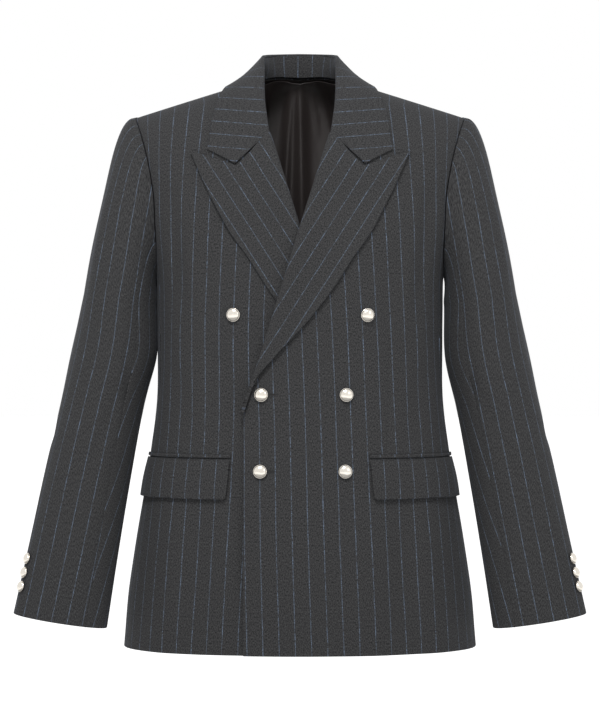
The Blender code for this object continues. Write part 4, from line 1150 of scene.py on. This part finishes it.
def worsted_wool(cloth):
    """Wool, spun and woven as a fine twill of dyed and undyed hair, with a chalk stripe of pale warp threads.

    To the eye: matt, a little hairy against the light, mottled charcoal, with stripes that break up
    where the weft crosses them. The twill is 0.5 mm in life and drawn at 1.4 mm, or it wouldn't show.
    """
    material, tree, shader = new_material("worsted_wool")
    cut = add_node(tree, "ShaderNodeUVMap", {"uv_map": "cloth"}).outputs["UV"]
    parts = add_node(tree, "ShaderNodeSeparateXYZ", inputs={0: cut})
    u = parts.outputs["X"]
    # stripes: the distance from the nearest whole step across the cloth
    wander = add_node(tree, "ShaderNodeTexNoise", {"noise_dimensions": "2D"},
                      {"Vector": cut, "Scale": 45.0, "Detail": 1.0}).outputs["Fac"]
    shift = add_node(tree, "ShaderNodeMath", {"operation": "MULTIPLY_ADD"}, {0: wander, 1: 0.0008, 2: u})
    steps = add_node(tree, "ShaderNodeMath", {"operation": "DIVIDE"}, {0: shift.outputs[0], 1: STRIPE_STEP})
    near = add_node(tree, "ShaderNodeMath", {"operation": "ROUND"}, {0: steps.outputs[0]})
    off = add_node(tree, "ShaderNodeMath", {"operation": "SUBTRACT"},
                   {0: steps.outputs[0], 1: near.outputs[0]})
    off = add_node(tree, "ShaderNodeMath", {"operation": "ABSOLUTE"}, {0: off.outputs[0]})
    half = cloth.stripe_width / STRIPE_STEP / 2
    line = add_node(tree, "ShaderNodeMapRange", {"interpolation_type": "SMOOTHSTEP"},
                    {"Value": off.outputs[0], "From Min": half * 1.35, "From Max": half * 0.45,
                     "To Min": 0.0, "To Max": 1.0})
    # the stripe's threads sink and surface, so it is brighter and dimmer along its run
    stretched = add_node(tree, "ShaderNodeMapping", inputs={"Vector": cut, "Scale": (320.0, 520.0, 1.0)})
    broken = add_node(tree, "ShaderNodeTexNoise", {"noise_dimensions": "2D"},
                      {"Vector": stretched.outputs[0], "Scale": 1.0, "Detail": 2.0, "Roughness": 0.7})
    patches = add_node(tree, "ShaderNodeTexNoise", {"noise_dimensions": "2D"},
                       {"Vector": cut, "Scale": 70.0, "Detail": 2.0})
    breaks = add_node(tree, "ShaderNodeMapRange", inputs={"Value": broken.outputs["Fac"], "From Min": 0.32,
                                                          "From Max": 0.68, "To Min": 0.0, "To Max": 1.0})
    strength = add_node(tree, "ShaderNodeMapRange", inputs={"Value": patches.outputs["Fac"], "From Min": 0.3,
                                                            "From Max": 0.7, "To Min": 0.35, "To Max": 1.0})
    stripe = add_node(tree, "ShaderNodeMath", {"operation": "MULTIPLY"},
                      {0: line.outputs[0], 1: breaks.outputs[0]})
    stripe = add_node(tree, "ShaderNodeMath", {"operation": "MULTIPLY"},
                      {0: stripe.outputs[0], 1: strength.outputs[0]})
    # ground: light and dark hair, longer along the warp than across it
    hair_at = add_node(tree, "ShaderNodeMapping", inputs={"Vector": cut, "Scale": (900.0, 430.0, 1.0)})
    hair = add_node(tree, "ShaderNodeTexNoise", {"noise_dimensions": "2D"},
                    {"Vector": hair_at.outputs[0], "Scale": 1.0, "Detail": 3.0, "Roughness": 0.75})
    ground = add_node(tree, "ShaderNodeMapRange", inputs={"Value": hair.outputs["Fac"], "From Min": 0.34,
                                                          "From Max": 0.66, "To Min": 0.0, "To Max": 1.0})
    body = add_node(tree, "ShaderNodeMix", {"data_type": "RGBA"},
                    {"Factor": ground.outputs[0], "A": picked(cloth.dark_hair),
                     "B": picked(cloth.light_hair)})
    colour = add_node(tree, "ShaderNodeMix", {"data_type": "RGBA"},
                      {"Factor": stripe.outputs[0], "A": body.outputs["Result"], "B": picked(cloth.stripe)})
    tree.links.new(colour.outputs["Result"], shader.inputs["Base Color"])
    # twill ribs run up to the right at 63 degrees
    ribs_at = add_node(tree, "ShaderNodeMapping",
                       inputs={"Vector": cut, "Rotation": (0, 0, math.radians(-27))})
    ribs = add_node(tree, "ShaderNodeTexWave", {"wave_type": "BANDS", "bands_direction": "X"},
                    {"Vector": ribs_at.outputs[0], "Scale": 0.314 / 0.0014, "Distortion": 1.5, "Detail": 1.0})
    relief = add_node(tree, "ShaderNodeMath", {"operation": "MULTIPLY_ADD"},
                      {0: ribs.outputs["Fac"], 1: 0.5, 2: hair.outputs["Fac"]})
    bump = add_node(tree, "ShaderNodeBump", inputs={"Strength": 0.35, "Distance": 0.00030,
                                                    "Height": relief.outputs[0]})
    tree.links.new(bump.outputs["Normal"], shader.inputs["Normal"])
    shader.inputs["Roughness"].default_value = 0.92
    shader.inputs["Specular IOR Level"].default_value = 0.25
    shader.inputs["Sheen Weight"].default_value = 0.10
    shader.inputs["Sheen Roughness"].default_value = 0.45
    shader.inputs["Sheen Tint"].default_value = linear("#aab0bb")
    return material


def viscose_satin(cloth):
    """Viscose, woven as a satin. Its long floats give the eye a soft gleam along the folds."""
    material, tree, shader = new_material("viscose_satin")
    cut = add_node(tree, "ShaderNodeUVMap", {"uv_map": "cloth"}).outputs["UV"]
    threads_at = add_node(tree, "ShaderNodeMapping", inputs={"Vector": cut, "Scale": (900.0, 120.0, 1.0)})
    threads = add_node(tree, "ShaderNodeTexNoise", {"noise_dimensions": "2D"},
                       {"Vector": threads_at.outputs[0], "Scale": 1.0, "Detail": 2.0})
    bump = add_node(tree, "ShaderNodeBump", inputs={"Strength": 0.15, "Distance": 0.0001,
                                                    "Height": threads.outputs["Fac"]})
    tree.links.new(bump.outputs["Normal"], shader.inputs["Normal"])
    shader.inputs["Base Color"].default_value = picked(cloth.lining)
    shader.inputs["Roughness"].default_value = 0.45
    shader.inputs["Sheen Weight"].default_value = 0.10
    shader.inputs["Sheen Tint"].default_value = linear("#8a7f78")
    return material


def polished_nickel(cloth):
    """Nickel-plated brass, pressed and polished: a bright, faintly warm mirror with the finest of wear."""
    material, tree, shader = new_material("polished_nickel")
    place = add_node(tree, "ShaderNodeTexCoord").outputs["Object"]
    wear = add_node(tree, "ShaderNodeTexNoise", inputs={"Vector": place, "Scale": 900.0, "Detail": 2.0})
    rough = add_node(tree, "ShaderNodeMapRange", inputs={"Value": wear.outputs["Fac"], "To Min": 0.10,
                                                         "To Max": 0.20})
    dents = add_node(tree, "ShaderNodeTexNoise", inputs={"Vector": place, "Scale": 130.0, "Detail": 0.0})
    bump = add_node(tree, "ShaderNodeBump", inputs={"Strength": 0.35, "Distance": 0.0016,
                                                    "Height": dents.outputs["Fac"]})
    tree.links.new(bump.outputs["Normal"], shader.inputs["Normal"])
    tree.links.new(rough.outputs[0], shader.inputs["Roughness"])
    shader.inputs["Base Color"].default_value = picked(cloth.metal)
    shader.inputs["Metallic"].default_value = 1.0
    return material


def silk_twist():
    """Buttonhole silk, plied and worked in close stitches: dark, with a fine rib across the slit."""
    material, tree, shader = new_material("silk_twist")
    place = add_node(tree, "ShaderNodeTexCoord").outputs["Object"]
    ribs = add_node(tree, "ShaderNodeTexWave", {"wave_type": "BANDS", "bands_direction": "X"},
                    {"Vector": place, "Scale": 0.314 / 0.0007, "Distortion": 0.6})
    colour = add_node(tree, "ShaderNodeMix", {"data_type": "RGBA"},
                      {"Factor": ribs.outputs["Fac"], "A": linear("#0a0a0b"), "B": linear("#1c1c1e")})
    tree.links.new(colour.outputs["Result"], shader.inputs["Base Color"])
    bump = add_node(tree, "ShaderNodeBump", inputs={"Strength": 0.6, "Distance": 0.0002,
                                                    "Height": ribs.outputs["Fac"]})
    tree.links.new(bump.outputs["Normal"], shader.inputs["Normal"])
    shader.inputs["Roughness"].default_value = 0.7
    return material


def studio_paper(stage):
    """Matt paper, rolled out as a floor: pale and without gloss."""
    material, tree, shader = new_material("studio_paper")
    shader.inputs["Base Color"].default_value = picked(stage.floor)
    shader.inputs["Roughness"].default_value = 0.95
    shader.inputs["Specular IOR Level"].default_value = 0.1
    shader.inputs["Emission Color"].default_value = (1.0, 1.0, 1.0, 1.0)
    place = add_node(tree, "ShaderNodeTexCoord").outputs["Object"]
    away = add_node(tree, "ShaderNodeVectorMath", {"operation": "LENGTH"}, {0: place})
    glow = add_node(tree, "ShaderNodeMapRange", {"interpolation_type": "SMOOTHSTEP"}, {
        "Value": away.outputs["Value"], "From Min": 1.1, "From Max": 2.1, "To Min": 0.0,
        "To Max": stage.floor_glow})
    tree.links.new(glow.outputs[0], shader.inputs["Emission Strength"])
    return material


def made_once(name, make, *values):
    """A finish that several pieces share, made when the first of them asks for it."""
    return bpy.data.materials.get(name) or make(*values)


def wool_and_lining(cloth):
    return [made_once("worsted_wool", worsted_wool, cloth), made_once("viscose_satin", viscose_satin, cloth)]


# ---------------------------------------------------------------- what a user can change

class BLAZER_PG_cloth(bpy.types.PropertyGroup):
    """Sizes and colours of the blazer's cloth, lining and buttons."""

    thickness: bpy.props.FloatProperty(
        name="Cloth", description="Thickness of the interlined cloth", default=0.0021,
        min=0.0012, max=0.0030, precision=4, unit="LENGTH")
    fold_height: bpy.props.FloatProperty(
        name="Folds", description="Share of the height that the soft folds are drawn at", default=1.0,
        min=0.0, max=2.0)
    roll_height: bpy.props.FloatProperty(
        name="Roll", description="Share of the height that the lapels roll at", default=1.0, min=0.2, max=1.5)
    head_puff: bpy.props.FloatProperty(
        name="Sleeve head", description="Share of the fullness along the armhole seam", default=1.0,
        min=0.0, max=2.0)
    stripe_width: bpy.props.FloatProperty(
        name="Stripe", description="Width of a chalk stripe", default=0.0011, min=0.0005, max=0.0040,
        precision=4, unit="LENGTH")
    dark_hair: bpy.props.FloatVectorProperty(
        name="Dark hair", description="The darker hair in the wool", subtype="COLOR", size=3,
        min=0.0, max=1.0, default=linear("#161617")[:3])
    light_hair: bpy.props.FloatVectorProperty(
        name="Light hair", description="The lighter hair in the wool", subtype="COLOR", size=3,
        min=0.0, max=1.0, default=linear("#4a4a4b")[:3])
    stripe: bpy.props.FloatVectorProperty(
        name="Stripe colour", description="The pale warp threads", subtype="COLOR", size=3,
        min=0.0, max=1.0, default=linear("#728298")[:3])
    lining: bpy.props.FloatVectorProperty(
        name="Lining", description="The satin inside", subtype="COLOR", size=3,
        min=0.0, max=1.0, default=linear("#332e2d")[:3])
    metal: bpy.props.FloatVectorProperty(
        name="Metal", description="The buttons' plating", subtype="COLOR", size=3,
        min=0.0, max=1.0, default=linear("#e6e0d6")[:3])


class BLAZER_PG_stage(bpy.types.PropertyGroup):
    """The studio the blazer is shown in."""

    distance: bpy.props.FloatProperty(
        name="Distance", description="How far in front the camera stands", default=3.2, min=1.5, max=8.0,
        unit="LENGTH")
    height: bpy.props.FloatProperty(
        name="Height", description="Height of the camera", default=-0.362, unit="LENGTH")
    frame_height: bpy.props.FloatProperty(
        name="Frame", description="Height of what the camera takes in at the middle", default=0.9504,
        min=0.3, max=3.0, unit="LENGTH")
    floor_height: bpy.props.FloatProperty(
        name="Floor", description="Height of the floor", default=-1.15, unit="LENGTH")
    floor: bpy.props.FloatVectorProperty(
        name="Floor colour", description="The paper on the floor", subtype="COLOR", size=3,
        min=0.0, max=1.0, default=linear("#dcdcdc")[:3])
    floor_glow: bpy.props.FloatProperty(
        name="Floor glow", description="How much light the floor adds of its own", default=0.95,
        min=0.0, max=2.0)
    world: bpy.props.FloatProperty(
        name="Room", description="Light that the white room gives", default=0.26, min=0.0, max=3.0)
    key: bpy.props.FloatProperty(
        name="Key light", description="Large soft light above and in front", default=88.0, min=0.0,
        max=500.0, unit="POWER")
    fill: bpy.props.FloatProperty(
        name="Side light", description="Soft light from the wearer's left", default=8.0, min=0.0,
        max=500.0, unit="POWER")


# ---------------------------------------------------------------- one operator for each piece

def cloth_settings(context):
    return context.scene.blazer_cloth


class BLAZER_OT_fronts(bpy.types.Operator):
    """Lays the cloth of both fronts, with their darts"""

    bl_idname = "blazer.fronts"
    bl_label = "Fronts"

    def execute(self, context):
        for side in (1, -1):
            front(side, wool_and_lining(cloth_settings(context)), cloth_settings(context))
        return {"FINISHED"}


class BLAZER_OT_sides(bpy.types.Operator):
    """Lays the cloth under both arms"""

    bl_idname = "blazer.sides"
    bl_label = "Sides"

    def execute(self, context):
        for side in (1, -1):
            side_body(side, wool_and_lining(cloth_settings(context)), cloth_settings(context))
        return {"FINISHED"}


class BLAZER_OT_backs(bpy.types.Operator):
    """Lays the cloth of both halves of the back"""

    bl_idname = "blazer.backs"
    bl_label = "Backs"

    def execute(self, context):
        for side in (1, -1):
            back(side, wool_and_lining(cloth_settings(context)), cloth_settings(context))
        return {"FINISHED"}


class BLAZER_OT_lining(bpy.types.Operator):
    """Hangs the satin inside the upper back"""

    bl_idname = "blazer.lining"
    bl_label = "Back lining"

    def execute(self, context):
        cloth = cloth_settings(context)
        lining(wool_and_lining(cloth)[1], cloth)
        return {"FINISHED"}


class BLAZER_OT_lapels(bpy.types.Operator):
    """Turns back both peak lapels"""

    bl_idname = "blazer.lapels"
    bl_label = "Lapels"

    def execute(self, context):
        for side in (1, -1):
            lapel(side, wool_and_lining(cloth_settings(context))[0], cloth_settings(context))
        return {"FINISHED"}


class BLAZER_OT_collar(bpy.types.Operator):
    """Folds the collar: the fall outside, the band inside"""

    bl_idname = "blazer.collar"
    bl_label = "Collar"

    def execute(self, context):
        cloth = cloth_settings(context)
        collar_fall(wool_and_lining(cloth)[0], cloth)
        collar_stand(wool_and_lining(cloth)[0], cloth)
        return {"FINISHED"}


class BLAZER_OT_sleeves(bpy.types.Operator):
    """Hangs both two-piece sleeves"""

    bl_idname = "blazer.sleeves"
    bl_label = "Sleeves"

    def execute(self, context):
        for side in (1, -1):
            sleeve(side, wool_and_lining(cloth_settings(context)), cloth_settings(context))
        return {"FINISHED"}


class BLAZER_OT_pockets(bpy.types.Operator):
    """Sews the pockets' welts and flaps"""

    bl_idname = "blazer.pockets"
    bl_label = "Pockets"

    def execute(self, context):
        for side in (1, -1):
            pocket(side, wool_and_lining(cloth_settings(context))[0], cloth_settings(context))
        return {"FINISHED"}


class BLAZER_OT_buttons(bpy.types.Operator):
    """Puts the metal buttons on the fronts and cuffs"""

    bl_idname = "blazer.buttons"
    bl_label = "Buttons"

    def execute(self, context):
        metal = made_once("polished_nickel", polished_nickel, cloth_settings(context))
        fronts = [f"button_{row}_{which}" for row in BUTTONS for which in ("left", "right")]
        put_buttons(fronts, BUTTON_RADIUS, metal, front_button_place)
        cuffs = [f"cuff_button_{which}_{k}" for which in ("left", "right") for k in (1, 2, 3)]
        put_buttons(cuffs, CUFF_BUTTON_RADIUS, metal, cuff_button_place)
        return {"FINISHED"}


class BLAZER_OT_buttonholes(bpy.types.Operator):
    """Works the two buttonholes that show"""

    bl_idname = "blazer.buttonholes"
    bl_label = "Buttonholes"

    def execute(self, context):
        thread = made_once("silk_twist", silk_twist)
        for row in ("middle", "bottom"):
            buttonhole(f"buttonhole_{row}_stitches", f"buttonhole_{row}", thread)
        return {"FINISHED"}


class BLAZER_OT_stage(bpy.types.Operator):
    """Sets up the pale studio, its soft lights and the camera"""

    bl_idname = "blazer.stage"
    bl_label = "Studio"

    def execute(self, context):
        stage = context.scene.blazer_stage
        start_clean()
        bpy.ops.mesh.primitive_plane_add(size=60, location=(0, 0, stage.floor_height))
        floor = context.active_object
        floor.name = "studio_floor"
        floor.data.materials.append(studio_paper(stage))
        world = bpy.data.worlds.new("white_room")
        world.use_nodes = True
        background = world.node_tree.nodes["Background"]
        background.inputs["Color"].default_value = (1.0, 1.0, 1.0, 1.0)
        rays = add_node(world.node_tree, "ShaderNodeLightPath")
        either = add_node(world.node_tree, "ShaderNodeMath", {"operation": "MAXIMUM"}, {
            0: rays.outputs["Is Camera Ray"], 1: rays.outputs["Is Glossy Ray"]})
        seen = add_node(world.node_tree, "ShaderNodeMapRange", inputs={
            "Value": either.outputs[0], "To Min": stage.world, "To Max": 1.0})
        world.node_tree.links.new(seen.outputs[0], background.inputs["Strength"])
        context.scene.world = world
        # name, power, size, place
        lamps = (("key", stage.key, 1.1, (-0.35, -2.5, 2.4)), ("side", stage.fill, 1.4, (2.4, -2.4, 0.8)))
        for name, power, size, place in lamps:
            bpy.ops.object.light_add(type="AREA", location=place)
            lamp = context.active_object
            lamp.name = f"soft_{name}"
            lamp.data.energy = power
            lamp.data.size = size
            aim = Vector((0, 0, -0.30)) - Vector(place)
            lamp.rotation_euler = aim.to_track_quat("-Z", "Y").to_euler()
        bpy.ops.object.camera_add(location=(0, -stage.distance, stage.height), rotation=(math.pi / 2, 0, 0))
        camera = context.active_object
        camera.data.sensor_fit = "VERTICAL"
        camera.data.sensor_height = 36.0
        camera.data.lens = 36.0 * stage.distance / stage.frame_height
        camera.data.clip_end = 200.0
        context.scene.camera = camera
        context.scene.view_settings.view_transform = "Standard"
        return {"FINISHED"}


PIECES = (BLAZER_OT_fronts, BLAZER_OT_sides, BLAZER_OT_backs, BLAZER_OT_lining, BLAZER_OT_lapels,
          BLAZER_OT_collar, BLAZER_OT_sleeves, BLAZER_OT_pockets, BLAZER_OT_buttons,
          BLAZER_OT_buttonholes, BLAZER_OT_stage)


class BLAZER_PT_panel(bpy.types.Panel):
    """Lists the blazer's sizes and colours, and its pieces"""

    bl_idname = "BLAZER_PT_panel"
    bl_label = "Blazer"
    bl_space_type = "VIEW_3D"
    bl_region_type = "UI"
    bl_category = "Blazer"

    def draw(self, context):
        for group in (context.scene.blazer_cloth, context.scene.blazer_stage):
            box = self.layout.box()
            for key in group.__annotations__:
                box.prop(group, key)
        for piece in PIECES:
            self.layout.operator(piece.bl_idname)


CLASSES = (BLAZER_PG_cloth, BLAZER_PG_stage, *PIECES, BLAZER_PT_panel)


def register():
    for kind in CLASSES:
        bpy.utils.register_class(kind)
    bpy.types.Scene.blazer_cloth = bpy.props.PointerProperty(type=BLAZER_PG_cloth)
    bpy.types.Scene.blazer_stage = bpy.props.PointerProperty(type=BLAZER_PG_stage)


def unregister():
    del bpy.types.Scene.blazer_stage
    del bpy.types.Scene.blazer_cloth
    for kind in reversed(CLASSES):
        bpy.utils.unregister_class(kind)


def main():
    register()
    bpy.ops.blazer.fronts()
    bpy.ops.blazer.sides()
    bpy.ops.blazer.backs()
    bpy.ops.blazer.lining()
    bpy.ops.blazer.lapels()
    bpy.ops.blazer.collar()
    bpy.ops.blazer.sleeves()
    bpy.ops.blazer.pockets()
    bpy.ops.blazer.buttons()
    bpy.ops.blazer.buttonholes()
    bpy.ops.blazer.stage()


if __name__ == "__main__":
    main()
